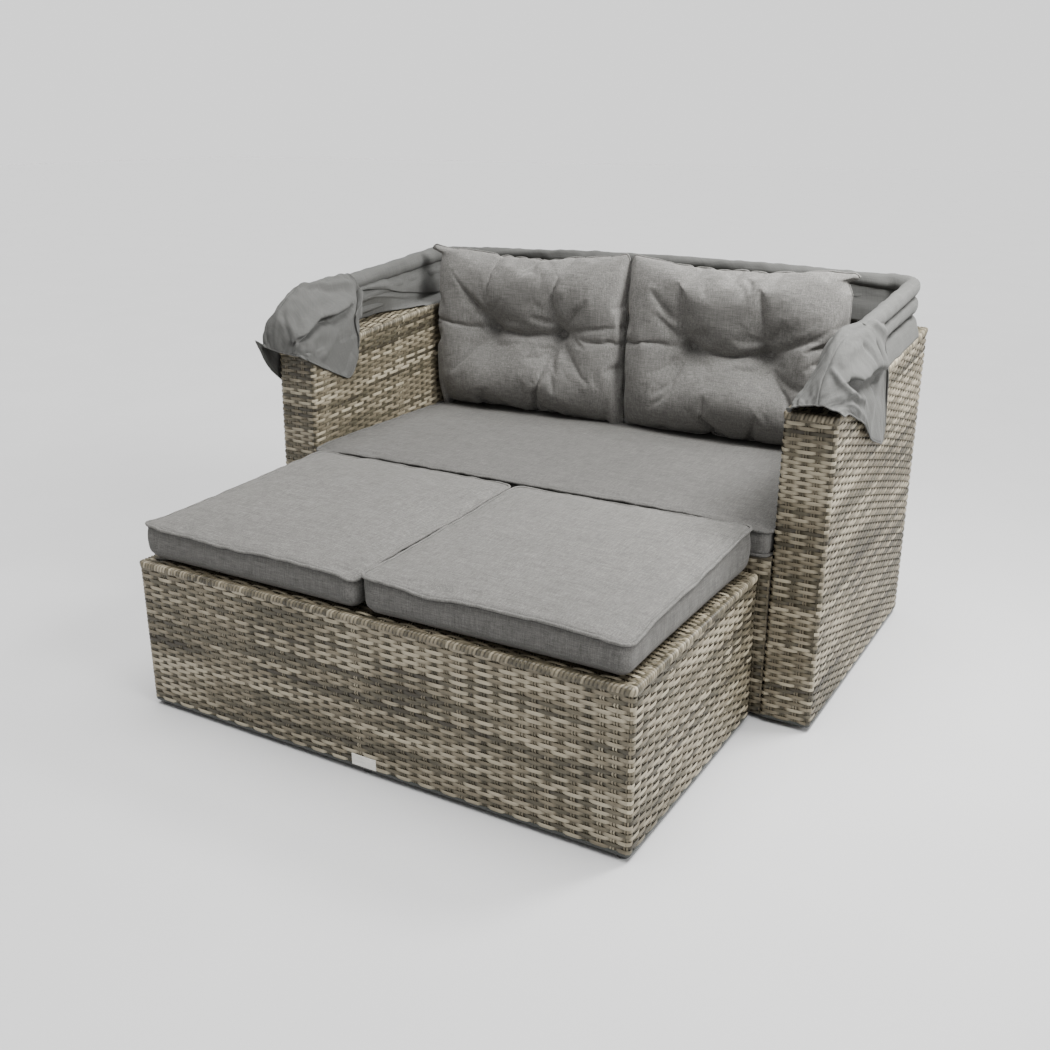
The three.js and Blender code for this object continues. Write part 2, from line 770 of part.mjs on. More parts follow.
// The canopy's rear band wraps the rear bow and hangs down to the top of the arms and the back
function rearBand() {
  const inner = sleeve_inner + seat_gap / 2;
  const outer = inner + band_wall;
  const tail_top = 1 / 2 * rear_bow_rise;
  const angles = [210, 175, 140, 105, 70, 35, 0].map((degrees) => THREE.MathUtils.degToRad(degrees));
  const outline = [
    ...angles.map((angle) => new THREE.Vector2(outer * Math.cos(angle), outer * Math.sin(angle))),
    new THREE.Vector2(outer + band_flare / 2, -tail_top),
    new THREE.Vector2(outer + band_flare, -rear_bow_rise),
    new THREE.Vector2(outer + band_flare - band_wall, -rear_bow_rise),
    new THREE.Vector2(outer + band_flare / 2 - band_wall, -tail_top),
    ...angles.reverse().map((angle) => new THREE.Vector2(inner * Math.cos(angle), inner * Math.sin(angle))),
  ];
  const rings = bowPlan(sleeve_start_from_front).map((place) => outline.map(({ x, y }) => {
    const point = beside(place, x, bowHeight(place, rear_bow_rise) + y);
    if (y <= -rear_bow_rise) {
      point.z = armTop(point.y) + 2 * seat_gap;
    }
    return point;
  }));
  return loft(rings, outline);
}

add('canopy_rear_band', rearBand(), 'canopy');

// The slack canopy between two bows hangs as a fold on their inner side
function slackFold(rise, first_out, drop_shares) {
  const half = fold_thickness / 2;
  const middle = -first_out - half;
  const outline = [
    new THREE.Vector2(middle - half, fold_shoulder_share),
    new THREE.Vector2(middle, 1),
    new THREE.Vector2(middle + half, fold_shoulder_share),
    new THREE.Vector2(middle + half, fold_hem_share),
    new THREE.Vector2(middle, 0),
    new THREE.Vector2(middle - half, fold_hem_share),
  ];
  const plan = bowPlan(fold_start_from_front);
  const back_y = bow_y - bow_corner_radius;
  const rings = plan.map((place) => {
    const along_leg = Math.min(1, (place.y - fold_start_from_front) / (back_y - fold_start_from_front));
    const top = bowHeight(place, rise) + bow_tube_radius / 2;
    const drop_share = drop_shares[0] + (drop_shares[1] - drop_shares[0]) * along_leg;
    return outline.map(({ x, y }) => {
      const point = beside(place, x, 0);
      const floor = armTop(point.y) + 4 * seat_gap;
      point.z = floor + (top - floor) * (1 - drop_share * (1 - y));
      return point;
    });
  });
  return loft(rings, outline);
}

const upper_fold_drop_shares = [0.3, 0.95];
const lower_fold_drop_shares = [0.85, 1];
const upper_fold_out = sleeve_outer + seat_gap;
const lower_fold_out = upper_fold_out + fold_thickness + seat_gap;
add('canopy_upper_fold', slackFold(front_bow_rise, upper_fold_out, upper_fold_drop_shares), 'canopy');
add('canopy_lower_fold', slackFold(middle_bow_rise, lower_fold_out, lower_fold_drop_shares), 'canopy');

// Posts on the back that the rear bow lies on
const bow_rest_top = armTop(bow_y) + rear_bow_rise - sleeve_inner - seat_gap;

function bowRest() {
  const x = half_width - bow_rest_from_side;
  const crown = bowHeight({ x, y: bow_y }, rear_bow_rise) - armTop(bow_y) - rear_bow_rise;
  const edges = [bow_y - bow_rest_radius, bow_y + bow_rest_radius].map(armTop);
  const low = Math.max(...edges) + seat_gap;
  const height = bow_rest_top + crown - low;
  const profile = [
    [0, 0],
    [bow_rest_radius, 0],
    [bow_rest_waist_radius, height / 2],
    [bow_rest_head_radius, height],
    [0, height],
  ].map((point) => new THREE.Vector2(...point));
  const geometry = new THREE.LatheGeometry(profile, round_sides);
  geometry.rotateX(Math.PI / 2);
  geometry.translate(x, bow_y, low);
  return geometry;
}

addPair('bow_rest', bowRest(), 'plastic');

// A thin sheet over a grid of points, given its thickness along a second grid
function sheet(top, bottom) {
  const rows = top.length;
  const columns = top[0].length;
  const positions = [...top.flat(), ...bottom.flat()].flatMap((point) => [point.x, point.y, point.z]);
  const under = rows * columns;
  const indices = [];
  const face = (a, b, c, d) => indices.push(a, b, c, a, c, d);
  for (let j = 0; j + 1 < rows; j += 1) {
    for (let i = 0; i + 1 < columns; i += 1) {
      const a = j * columns + i;
      face(a, a + 1, a + columns + 1, a + columns);
      face(under + a + columns, under + a + columns + 1, under + a + 1, under + a);
    }
  }
  for (let i = 0; i + 1 < columns; i += 1) {
    const far = (rows - 1) * columns + i;
    face(under + i, under + i + 1, i + 1, i);
    face(far, far + 1, under + far + 1, under + far);
  }
  for (let j = 0; j + 1 < rows; j += 1) {
    const near = j * columns;
    const last = near + columns - 1;
    face(near, near + columns, under + near + columns, under + near);
    face(under + last, under + last + columns, last + columns, last);
  }
  const geometry = new THREE.BufferGeometry();
  geometry.setAttribute('position', new THREE.BufferAttribute(new Float32Array(positions), 3));
  geometry.setIndex(indices);
  return outward(geometry);
}

// A smooth value along a list of values, from 0 to 1
function along(values, share) {
  const curve = new THREE.SplineCurve(values.map((value, i) => new THREE.Vector2(i, value)));
  return curve.getPoint(share).y;
}

// The slack side cloth of the canopy lies over the front of each arm and hangs down both of its sides.
// From the back edge forward: the ridge over the bows, and the hems inside and outside the arm.
const drape_inner_x = arm_inside - cloth_clearance;
const drape_outer_x = half_width + cloth_clearance;
const drape_ridge_x = bow_x - bow_tube_radius;
const ridge_y = [330, 262, 190, 118, 50, -5, -34, -42];
const ridge_above_arm = [141.8, 156, 160, 155, 133, 100, 52, 26];
const inner_hem_y = [212, 206, 190, 153, 96, 40, 4, -14];
const inner_hem_above_arm = [24, -40, -84, -101, -77, -48, -22, -8];
const outer_hem_y = [405, 398, 352, 262, 160, 60, -22, -56];
const outer_hem_above_arm = [8, -118, -154, -128, -50, 4, 20, 30];
const drape_folds = 3;
const drape_fold_depth = 5;
const drape_roundness = 2 / 3;
const drape_rows = 14;
const drape_columns = 14;

function drapePoint(share, across, inset) {
  const inner = across < 1 / 2;
  const reach = Math.abs(1 - 2 * across);
  const crown_angle = reach * Math.PI / 2;
  const hem_y = along(inner ? inner_hem_y : outer_hem_y, share);
  const hem_above_arm = along(inner ? inner_hem_above_arm : outer_hem_above_arm, share);
  const hem_z = armTop(Math.max(hem_y, 0)) + hem_above_arm;
  const top_y = along(ridge_y, share);
  const top_z = armTop(Math.max(top_y, 0)) + along(ridge_above_arm, share);
  const width_share = Math.sin(crown_angle) ** drape_roundness;
  const height_share = Math.cos(crown_angle) ** drape_roundness;
  const edge_x = inner ? drape_inner_x + inset : drape_outer_x - inset;
  const wave = Math.sin(Math.PI * 2 * drape_folds * share);
  const fold = drape_fold_depth * wave * Math.sin(Math.PI * reach) ** 2;
  return new THREE.Vector3(
    drape_ridge_x + (edge_x - drape_ridge_x) * width_share,
    hem_y + (top_y - hem_y) * (1 - reach * reach),
    hem_z + (top_z - inset - hem_z) * height_share + fold * height_share,
  );
}

function frontDrape() {
  const grid = (inset) => Array.from({ length: drape_rows + 1 }, (_, j) => Array.from(
    { length: drape_columns + 1 },
    (__, i) => drapePoint(j / drape_rows, i / drape_columns, inset),
  ));
  return sheet(grid(0), grid(cloth_thickness));
}

addPair('front_drape', frontDrape(), 'canopy');

// Cushions with square sides: round corners, a crown on top and sides drawn in between the seams
const nearly_one = 0.999;
const seat_cushion_facets = [18, 10];
const ottoman_cushion_facets = [10, 10];

function boxCushion(low, high, crown, facets) {
  const size = high.map((value, axis) => value - low[axis]);
  const middle = high.map((value, axis) => (value + low[axis]) / 2);
  const levels = 2;
  const geometry = new THREE.BoxGeometry(...size, ...facets, levels);
  const position = geometry.getAttribute('position');
  const radius = cushion_corner_radius;
  for (let i = 0; i < position.count; i += 1) {
    const x = position.getX(i);
    const y = position.getY(i);
    const z = position.getZ(i);
    const across = Math.abs(2 * x / size[0]);
    const deep = Math.abs(2 * y / size[1]);
    const waist = 1 - Math.abs(2 * z / size[2]);
    const past_x = Math.max(0, Math.abs(x) - (size[0] / 2 - radius)) / radius;
    const past_y = Math.max(0, Math.abs(y) - (size[1] / 2 - radius)) / radius;
    const rounding = Math.min(past_x, past_y) * (1 - Math.SQRT1_2) * radius;
    const draw_x = across > nearly_one ? cushion_side_draw * waist * (1 - deep ** 4) : 0;
    const draw_y = deep > nearly_one ? cushion_side_draw * waist * (1 - across ** 4) : 0;
    const swell = z > size[2] / 2 - seat_gap ? crown * (1 - across ** 4) * (1 - deep ** 4) : 0;
    position.setXYZ(
      i,
      middle[0] + x - Math.sign(x) * (rounding + draw_x),
      middle[1] + y - Math.sign(y) * (rounding + draw_y),
      middle[2] + z + swell,
    );
  }
  return geometry;
}

add('seat_cushion', boxCushion(
  [-arm_inside + 3 * seat_gap, 0, seat_deck_height + seat_gap],
  [arm_inside - 3 * seat_gap, back_front - seat_gap, seat_deck_height + seat_gap + seat_cushion_thickness],
  seat_cushion_crown,
  seat_cushion_facets,
), 'cushion');
addPair('ottoman_cushion', boxCushion(
  [cushion_gap / 2, ottoman_front + ottoman_cushion_margin / 2, ottoman_height + seat_gap],
  [
    ottoman_width / 2 - ottoman_cushion_margin,
    ottoman_rear - ottoman_cushion_margin / 2,
    ottoman_height + seat_gap + ottoman_cushion_thickness,
  ],
  ottoman_cushion_crown,
  ottoman_cushion_facets,
), 'cushion');

// Tufted back cushion: two pads joined at an edge seam, with two sewn tufts and a crease between them
const edge_share = 0.16;
const back_cushion_width = arm_inside - cushion_gap;
const back_cushion_back = back_front - seat_gap;
const back_rim_y = back_cushion_back - back_cushion_lean - back_cushion_thickness / 2 * (1 + edge_share);
const crown_under_rim = seat_cushion_crown * (1 - (2 * back_rim_y / back_front - 1) ** 4);
const back_cushion_low = seat_deck_height + 2 * seat_gap + seat_cushion_thickness + crown_under_rim;
const top_draw_share = 0.1;
const side_draw_share = 0.025;
const crease_share = 0.45;
const pleat_share = 0.4;
const crease_reach = 0.9 * tuft_spacing;
const back_cushion_columns = 22;
const back_cushion_rows = 18;

function backCushionPoint(across, up, front) {
  const middle_x = cushion_gap / 2 + back_cushion_width / 2;
  const u = 2 * across - 1;
  const v = 2 * up - 1;
  const fullness = ((1 - u ** 4) * (1 - v ** 4)) ** 0.5;
  const half = back_cushion_thickness / 2 * (edge_share + (1 - edge_share) * fullness);
  const draw = 1 - top_draw_share * (1 - u * u) * Math.abs(v) ** 3;
  const width_draw = 1 - side_draw_share * (1 - v * v) * Math.abs(u) ** 3;
  const x = middle_x + u * width_draw * back_cushion_width / 2;
  const z = back_cushion_low + back_cushion_height * (1 + v * (v > 0 ? draw : 1)) / 2;
  const middle_y = back_cushion_back - back_cushion_thickness / 2 - back_cushion_lean * (1 - up);
  if (!front) {
    return new THREE.Vector3(x, Math.min(middle_y + half, back_cushion_back), z);
  }
  const local_x = x - middle_x;
  const local_z = z - back_cushion_low - back_cushion_height / 2;
  const tufts = [-tuft_spacing / 2, tuft_spacing / 2].map((at) => Math.exp(
    -(((local_x - at) / tuft_radius) ** 2 + (local_z / tuft_radius) ** 2),
  ));
  const between = Math.exp(-((local_z / crease_width) ** 2)) * Math.exp(-((local_x / crease_reach) ** 4));
  const fade = local_z > 0 ? 1 - 2 * local_z / back_cushion_height : 0;
  const upward = [-tuft_spacing / 2, tuft_spacing / 2].map((at) => (
    fade * Math.exp(-(((local_x - at) / crease_width) ** 2))
  ));
  const creases = [crease_share * between, ...upward.map((value) => pleat_share * value)];
  const dip = Math.max(...tufts, ...creases) * tuft_depth * fullness;
  return new THREE.Vector3(x, middle_y - half + dip, z);
}

function backCushion() {
  const grid = (front) => Array.from({ length: back_cushion_rows + 1 }, (_, j) => Array.from(
    { length: back_cushion_columns + 1 },
    (__, i) => backCushionPoint(i / back_cushion_columns, j / back_cushion_rows, front),
  ));
  return sheet(grid(true), grid(false));
}

addPair('back_cushion', backCushion(), 'cushion');

export default set;
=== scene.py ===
import math

import bmesh
import bpy
import numpy as np
from mathutils import Matrix, Vector


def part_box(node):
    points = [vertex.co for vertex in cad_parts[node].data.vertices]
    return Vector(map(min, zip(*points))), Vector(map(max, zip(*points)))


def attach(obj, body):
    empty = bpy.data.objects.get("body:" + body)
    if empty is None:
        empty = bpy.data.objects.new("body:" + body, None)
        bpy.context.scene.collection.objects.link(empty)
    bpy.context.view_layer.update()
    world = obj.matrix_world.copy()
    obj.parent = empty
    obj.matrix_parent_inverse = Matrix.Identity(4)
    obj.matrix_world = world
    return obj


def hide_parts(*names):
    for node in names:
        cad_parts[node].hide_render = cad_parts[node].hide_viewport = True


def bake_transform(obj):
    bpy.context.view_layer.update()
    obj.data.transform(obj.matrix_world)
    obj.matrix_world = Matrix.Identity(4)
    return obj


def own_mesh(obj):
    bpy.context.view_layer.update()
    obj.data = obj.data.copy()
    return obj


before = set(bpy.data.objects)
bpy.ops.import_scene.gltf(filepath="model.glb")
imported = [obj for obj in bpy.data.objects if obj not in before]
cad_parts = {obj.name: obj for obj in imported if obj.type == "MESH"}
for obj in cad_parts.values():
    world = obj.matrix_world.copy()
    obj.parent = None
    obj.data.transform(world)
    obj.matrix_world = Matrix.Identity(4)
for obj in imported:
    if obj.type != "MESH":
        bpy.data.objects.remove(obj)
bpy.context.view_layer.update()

bl_info = {
    "name": "Outdoor daybed",
    "version": (1, 0, 0),
    "blender": (4, 5, 0),
    "location": "View3D > Sidebar > Daybed",
    "description": "Weaves, sews and lights an outdoor daybed with a folding canopy and an ottoman",
    "category": "Object",
}

MM = 0.001

# The sofa's own places, read from the frame, and the sizes that the frame's boxes don't give
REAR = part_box("back_weave")[1][1]
DEPTH = 0.790
FRONT = REAR - DEPTH
HALF_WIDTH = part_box("right_arm_weave")[1][0]
ARM_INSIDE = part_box("right_arm_weave")[0][0]
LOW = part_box("right_arm_weave")[0][2]
ARM_REAR_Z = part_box("right_arm_weave")[1][2]
ARM_SLOPE = 0.072
ARM_FRONT_Z = ARM_REAR_Z - ARM_SLOPE
ARM_LEAN = 0.017
CORNER = 0.0075
BOW_FROM_SIDE = 0.028
BOW_FROM_REAR = 0.043
BOW_X = HALF_WIDTH - BOW_FROM_SIDE
BOW_Y = REAR - BOW_FROM_REAR
BOW_CORNER = 0.070
BOW_CROWN = 0.014
MIDDLE_RISE = 0.080
FRONT_RISE = 0.121


def arm_top(y):
    """Height of the arms' sloping top at a place y in the frame."""
    return ARM_FRONT_Z + (y - FRONT) * (ARM_REAR_Z - ARM_FRONT_Z) / DEPTH


# Sizes and colours that a user would change


def length_property(name, description, default, lowest):
    return bpy.props.FloatProperty(
        name=name, description=description, default=default, min=lowest, unit="LENGTH"
    )


def colour_property(name, description, default):
    return bpy.props.FloatVectorProperty(
        name=name, description=description, default=default, size=3, subtype="COLOR", min=0.0, max=1.0
    )


class DaybedSizes(bpy.types.PropertyGroup):
    strip_pitch: length_property("Strip pitch", "Height of one woven row", 0.0087, 0.004)
    stake_pitch: length_property("Stake pitch", "Distance between stake pairs", 0.028, 0.01)
    weave_relief: length_property("Weave relief", "How far strips rise and fall", 0.0024, 0.0)
    piping_radius: length_property("Piping radius", "Radius of the cushions' piping", 0.0036, 0.001)
    cloth_thickness: length_property("Cloth thickness", "Thickness of the canopy's cloth", 0.0013, 0.0005)
    crease_depth: length_property("Crease depth", "Depth of the deepest creases at the tufts", 0.020, 0.0)


class DaybedColours(bpy.types.PropertyGroup):
    strip_dark: colour_property("Dark strips", "Darkest tone of the woven strips", (0.026, 0.0205, 0.0115))
    strip_olive: colour_property("Olive strips", "Second tone of the woven strips", (0.060, 0.052, 0.032))
    strip_taupe: colour_property("Taupe strips", "Middle tone of the woven strips", (0.130, 0.109, 0.072))
    strip_light: colour_property("Light strips", "Lightest tone of the woven strips", (0.290, 0.256, 0.184))
    cushion: colour_property("Cushions", "Yarn of the cushion covers", (0.100, 0.097, 0.091))
    canopy: colour_property("Canopy", "Yarn of the canopy", (0.074, 0.074, 0.070))
    floor: colour_property("Floor", "Studio floor", (0.47, 0.47, 0.47))


def sizes():
    return bpy.context.scene.daybed_sizes


def colours():
    return bpy.context.scene.daybed_colours


# Materials


class Paint:
    """A material and short ways to add and join its nodes."""

    def __init__(self, name, **shader):
        self.material = bpy.data.materials.new(name)
        self.material.use_nodes = True
        self.tree = self.material.node_tree
        self.shader = self.tree.nodes["Principled BSDF"]
        for key, value in shader.items():
            self.shader.inputs[key.replace("_", " ")].default_value = value

    def node(self, kind, values=None, **settings):
        made = self.tree.nodes.new(kind)
        for key, value in settings.items():
            setattr(made, key, value)
        for key, value in (values or {}).items():
            if isinstance(value, bpy.types.NodeSocket):
                self.tree.links.new(value, made.inputs[key])
            else:
                made.inputs[key].default_value = value
        return made

    def place(self, scale=(1.0, 1.0, 1.0), source="Object"):
        where = self.node("ShaderNodeTexCoord").outputs[source]
        return self.node("ShaderNodeMapping", {"Vector": where, "Scale": scale}).outputs["Vector"]

    def noise(self, vector, scale, detail=3.0, rough=0.5):
        values = {"Vector": vector, "Scale": scale, "Detail": detail, "Roughness": rough}
        return self.node("ShaderNodeTexNoise", values).outputs["Fac"]

    def spread(self, value, low, high):
        values = {"Value": value, "From Min": 0.3, "From Max": 0.7, "To Min": low, "To Max": high}
        return self.node("ShaderNodeMapRange", values).outputs["Result"]

    def math(self, operation, first, second):
        return self.node("ShaderNodeMath", {0: first, 1: second}, operation=operation).outputs[0]

    def ramp(self, value, stops):
        made = self.node("ShaderNodeValToRGB", {"Fac": value})
        elements = made.color_ramp.elements
        while len(elements) < len(stops):
            elements.new(0.5)
        for element, (position, colour) in zip(elements, stops):
            element.position = position
            element.color = (*colour[:3], 1.0)
        return made.outputs["Color"]

    def mix(self, share, first, second, blend="MIX"):
        made = self.node("ShaderNodeMix", data_type="RGBA", blend_type=blend)
        for key, value in ((0, share), (6, first), (7, second)):
            if isinstance(value, bpy.types.NodeSocket):
                self.tree.links.new(value, made.inputs[key])
            else:
                made.inputs[key].default_value = value if key == 0 else (*value[:3], 1.0)
        return made.outputs[2]

    def bump(self, height, strength, distance, under=None):
        values = {"Height": height, "Strength": strength, "Distance": distance}
        if under is not None:
            values["Normal"] = under
        return self.node("ShaderNodeBump", values).outputs["Normal"]

    def finish(self, **joins):
        for key, value in joins.items():
            self.tree.links.new(value, self.shader.inputs[key.replace("_", " ")])
        return self.material


def shade(colour, factor):
    """The colour, so many times as bright."""
    return tuple(min(1.0, part * factor) for part in colour)


def wicker_material():
    tones = colours()
    paint = Paint("variegated_resin_strip", Roughness=0.5, Specular_IOR_Level=0.42)
    tone = paint.node("ShaderNodeAttribute", attribute_name="tone").outputs["Fac"]
    uv = paint.place((30.0, 900.0, 1.0), "UV")
    streak = paint.noise(uv, 1.0, 4.0, 0.6)
    wide = paint.noise(paint.place((22.0, 60.0, 1.0), "UV"), 1.0, 1.0)
    shift = paint.math("ADD", tone, paint.spread(streak, -0.10, 0.10))
    shift = paint.math("ADD", shift, paint.spread(wide, -0.12, 0.12))
    stops = [
        (0.0, tones.strip_dark),
        (0.30, tones.strip_olive),
        (0.62, tones.strip_taupe),
        (1.0, tones.strip_light),
    ]
    base = paint.ramp(shift, stops)
    rough = paint.spread(streak, 0.44, 0.60)
    ribs = paint.noise(paint.place((12.0, 1500.0, 1.0), "UV"), 1.0, 2.0)
    normal = paint.bump(ribs, 0.35, 0.0004)
    return paint.finish(Base_Color=base, Roughness=rough, Normal=normal)


# A dark sheet behind the woven strips: painted shade of the hollow inside, seen through the gaps
def backing_material():
    paint = Paint("shadowed_inner_weave", Roughness=0.85)
    fine = paint.noise(paint.place(), 160.0, 3.0)
    dark = colours().strip_dark
    base = paint.ramp(fine, [(0.3, shade(dark, 0.6)), (0.7, shade(dark, 1.3))])
    return paint.finish(Base_Color=base, Normal=paint.bump(fine, 0.4, 0.001))


def binding_material():
    paint = Paint("slate_edge_binding", Roughness=0.5)
    fine = paint.noise(paint.place(), 90.0, 4.0)
    base = paint.ramp(fine, [(0.3, (0.016, 0.018, 0.016)), (0.7, (0.032, 0.035, 0.031))])
    return paint.finish(Base_Color=base, Roughness=paint.spread(fine, 0.42, 0.60))


def deck_material():
    tones = colours()
    paint = Paint("woven_seat_deck", Roughness=0.55)
    rows = paint.node(
        "ShaderNodeTexWave",
        {"Vector": paint.place(), "Scale": 18.0, "Distortion": 0.4},
        bands_direction="Y",
    ).outputs["Fac"]
    stakes = paint.node(
        "ShaderNodeTexWave",
        {"Vector": paint.place(), "Scale": 5.2, "Distortion": 0.3},
        bands_direction="X",
    ).outputs["Fac"]
    patch = paint.noise(paint.place((8.0, 60.0, 1.0)), 1.0, 3.0)
    height = paint.math("MULTIPLY", rows, paint.spread(stakes, 0.5, 1.0))
    base = paint.ramp(patch, [(0.3, tones.strip_olive), (0.5, tones.strip_taupe), (0.75, tones.strip_light)])
    # Painted shade: the grooves between rows are darkened toward the darkest strip tone
    base = paint.mix(paint.spread(rows, 0.75, 0.0), base, tones.strip_dark)
    return paint.finish(Base_Color=base, Normal=paint.bump(height, 0.8, 0.003))


def fabric_material(name, colour, source, thread, contrast):
    """Plain woven melange: light and dark yarns run across and along, with slubs and a soft fuzz."""
    paint = Paint(name, Roughness=0.92, Specular_IOR_Level=0.25)
    paint.shader.inputs["Sheen Weight"].default_value = 0.22
    paint.shader.inputs["Sheen Roughness"].default_value = 0.5
    paint.shader.inputs["Sheen Tint"].default_value = (*shade(colour, 2.4), 1.0)
    count = 520.0 * thread
    if source == "UV":
        weft, warp = (count / 26, count, 1.0), (count, count / 26, 1.0)
        slub = (10.0, 140.0, 1.0)
    else:
        weft, warp = (count / 18, count, count), (count, count / 2, count / 18)
        slub = (24.0, 120.0, 140.0)
    across = paint.noise(paint.place(weft, source), 1.0, 2.0)
    along = paint.noise(paint.place(warp, source), 1.0, 2.0)
    slubs = paint.noise(paint.place(slub, source), 1.0, 3.0)
    cloud = paint.noise(paint.place(source=source), 5.0, 4.0)
    yarn = paint.math("ADD", paint.spread(across, -0.5, 0.5), paint.spread(along, -0.5, 0.5))
    if source != "UV":
        deep = paint.noise(paint.place((count, count / 18, count), source), 1.0, 2.0)
        yarn = paint.math("ADD", yarn, paint.spread(deep, -0.5, 0.5))
    yarn = paint.math("ADD", yarn, paint.spread(slubs, -0.20, 0.20))
    level = paint.math("MULTIPLY", yarn, 0.38 * contrast)
    level = paint.math("ADD", level, 0.5)
    base = paint.ramp(level, [(0.0, shade(colour, 0.52)), (0.5, colour), (1.0, shade(colour, 1.62))])
    base = paint.mix(paint.spread(cloud, 0.0, 0.16), base, shade(colour, 0.72))
    fine = paint.bump(yarn, 0.28, 0.0005)
    normal = paint.bump(cloud, 0.12, 0.004, fine)
    return paint.finish(Base_Color=base, Normal=normal)


def tag_material():
    return fabric_material("blank_woven_tag", (0.58, 0.57, 0.53), "Object", 2.2, 0.5)


def metal_material(name, colour, rough, metallic, grain):
    paint = Paint(name, Metallic=metallic, Roughness=rough)
    scratch = paint.noise(paint.place(grain), 1.0, 4.0, 0.6)
    smudge = paint.noise(paint.place(), 14.0, 3.0)
    base = paint.ramp(smudge, [(0.3, shade(colour, 0.82)), (0.7, shade(colour, 1.12))])
    along = paint.spread(scratch, rough - 0.08, rough + 0.08)
    roughness = paint.math("ADD", along, paint.spread(smudge, -0.04, 0.06))
    return paint.finish(Base_Color=base, Roughness=roughness, Normal=paint.bump(scratch, 0.12, 0.0004))


def plastic_material(name, colour, rough, scale):
    paint = Paint(name, Roughness=rough, Specular_IOR_Level=0.45)
    pebble = paint.noise(paint.place(), scale, 3.0)
    wear = paint.noise(paint.place(), 22.0, 4.0)
    base = paint.ramp(wear, [(0.3, shade(colour, 0.8)), (0.72, shade(colour, 1.5))])
    roughness = paint.spread(wear, rough - 0.06, rough + 0.12)
    return paint.finish(Base_Color=base, Roughness=roughness, Normal=paint.bump(pebble, 0.25, 0.0004))


_made = {}

# Woven cloths: material name, colour property, its share, where the pattern lies, thread count and contrast
FABRICS = {
    "cushion": ("melange_cushion_cover", "cushion", 1.0, "Object", 1.0, 1.0),
    # Side bands and undersides: the cushion cloth at 0.80, painted shade, as these faces get less light than
    # the tops
    "band": ("melange_cushion_band", "cushion", 0.80, "Object", 1.0, 1.0),
    # A thin dark cord under each piping cord: the cushion cloth at 0.30, a painted shadow line beneath the
    # piping
    "welt": ("stitched_welt", "cushion", 0.30, "Object", 1.6, 1.0),
    # The seat cover: the cushion cloth at 0.76, painted shade cast by the arms and the back
    "seat": ("melange_seat_cover", "cushion", 0.76, "Object", 1.0, 1.0),
    # The back cushions: the cushion cloth at 1.38, painted light that makes them look more lit than the other
    # cushions
    "pillow": ("melange_pillow_cover", "cushion", 1.38, "Object", 1.0, 1.0),
    "canopy": ("canopy_cloth", "canopy", 1.0, "UV", 1.1, 0.55),
    "thread": ("seam_thread", "canopy", 0.55, "Object", 1.6, 1.0),
}
# Metals: material name, colour, roughness, metallic share and the way of the grain
METALS = {
    "frame": ("charcoal_powder_coat", (0.045, 0.046, 0.045), 0.52, 0.25, (300.0, 300.0, 300.0)),
    "bow": ("brushed_bow_tube", (0.55, 0.56, 0.57), 0.34, 1.0, (30.0, 30.0, 900.0)),
    "bracket": ("pressed_bracket_steel", (0.30, 0.31, 0.32), 0.42, 1.0, (20.0, 600.0, 600.0)),
    "steel": ("zinc_plated_bolt", (0.62, 0.62, 0.60), 0.30, 1.0, (700.0, 60.0, 60.0)),
}
# Plastics: material name, colour, roughness and the fineness of the grain
PLASTICS = {
    "knob": ("ribbed_knob_plastic", (0.018, 0.018, 0.019), 0.45, 420.0),
    "foot": ("glide_foot_plastic", (0.022, 0.023, 0.022), 0.55, 260.0),
}


def make_finish(name):
    if name in FABRICS:
        title, tone, share, source, thread, contrast = FABRICS[name]
        colour = shade(tuple(getattr(colours(), tone)), share)
        return fabric_material(title, colour, source, thread, contrast)
    if name in METALS:
        return metal_material(*METALS[name])
    if name in PLASTICS:
        return plastic_material(*PLASTICS[name])
    makers = {
        "wicker": wicker_material,
        "backing": backing_material,
        "binding": binding_material,
        "deck": deck_material,
        "tag": tag_material,
    }
    return makers[name]()


def finish_named(name):
    """The material of that name, made at its first use."""
    if name not in _made:
        _made[name] = make_finish(name)
    return _made[name]


# Meshes

# Points this close become one
WELD = 1e-5
SEAM_WELD = 2e-5


def waves(points, length, seed):
    """Smooth noise from -1 to 1 in space, with about that wave length."""
    count = 9
    rng = np.random.default_rng(seed)
    total = np.zeros(points.shape[:-1])
    for _ in range(count):
        way = rng.normal(size=3)
        way *= 2 * math.pi / (length * rng.uniform(0.7, 1.6)) / np.linalg.norm(way)
        total += np.sin(points @ way + rng.uniform(0, 2 * math.pi))
    return total / math.sqrt(count) / 1.4


def bell(distance, width):
    """1 at no distance, falling smoothly to nothing past about twice the width."""
    return np.exp(-((distance / width) ** 2))


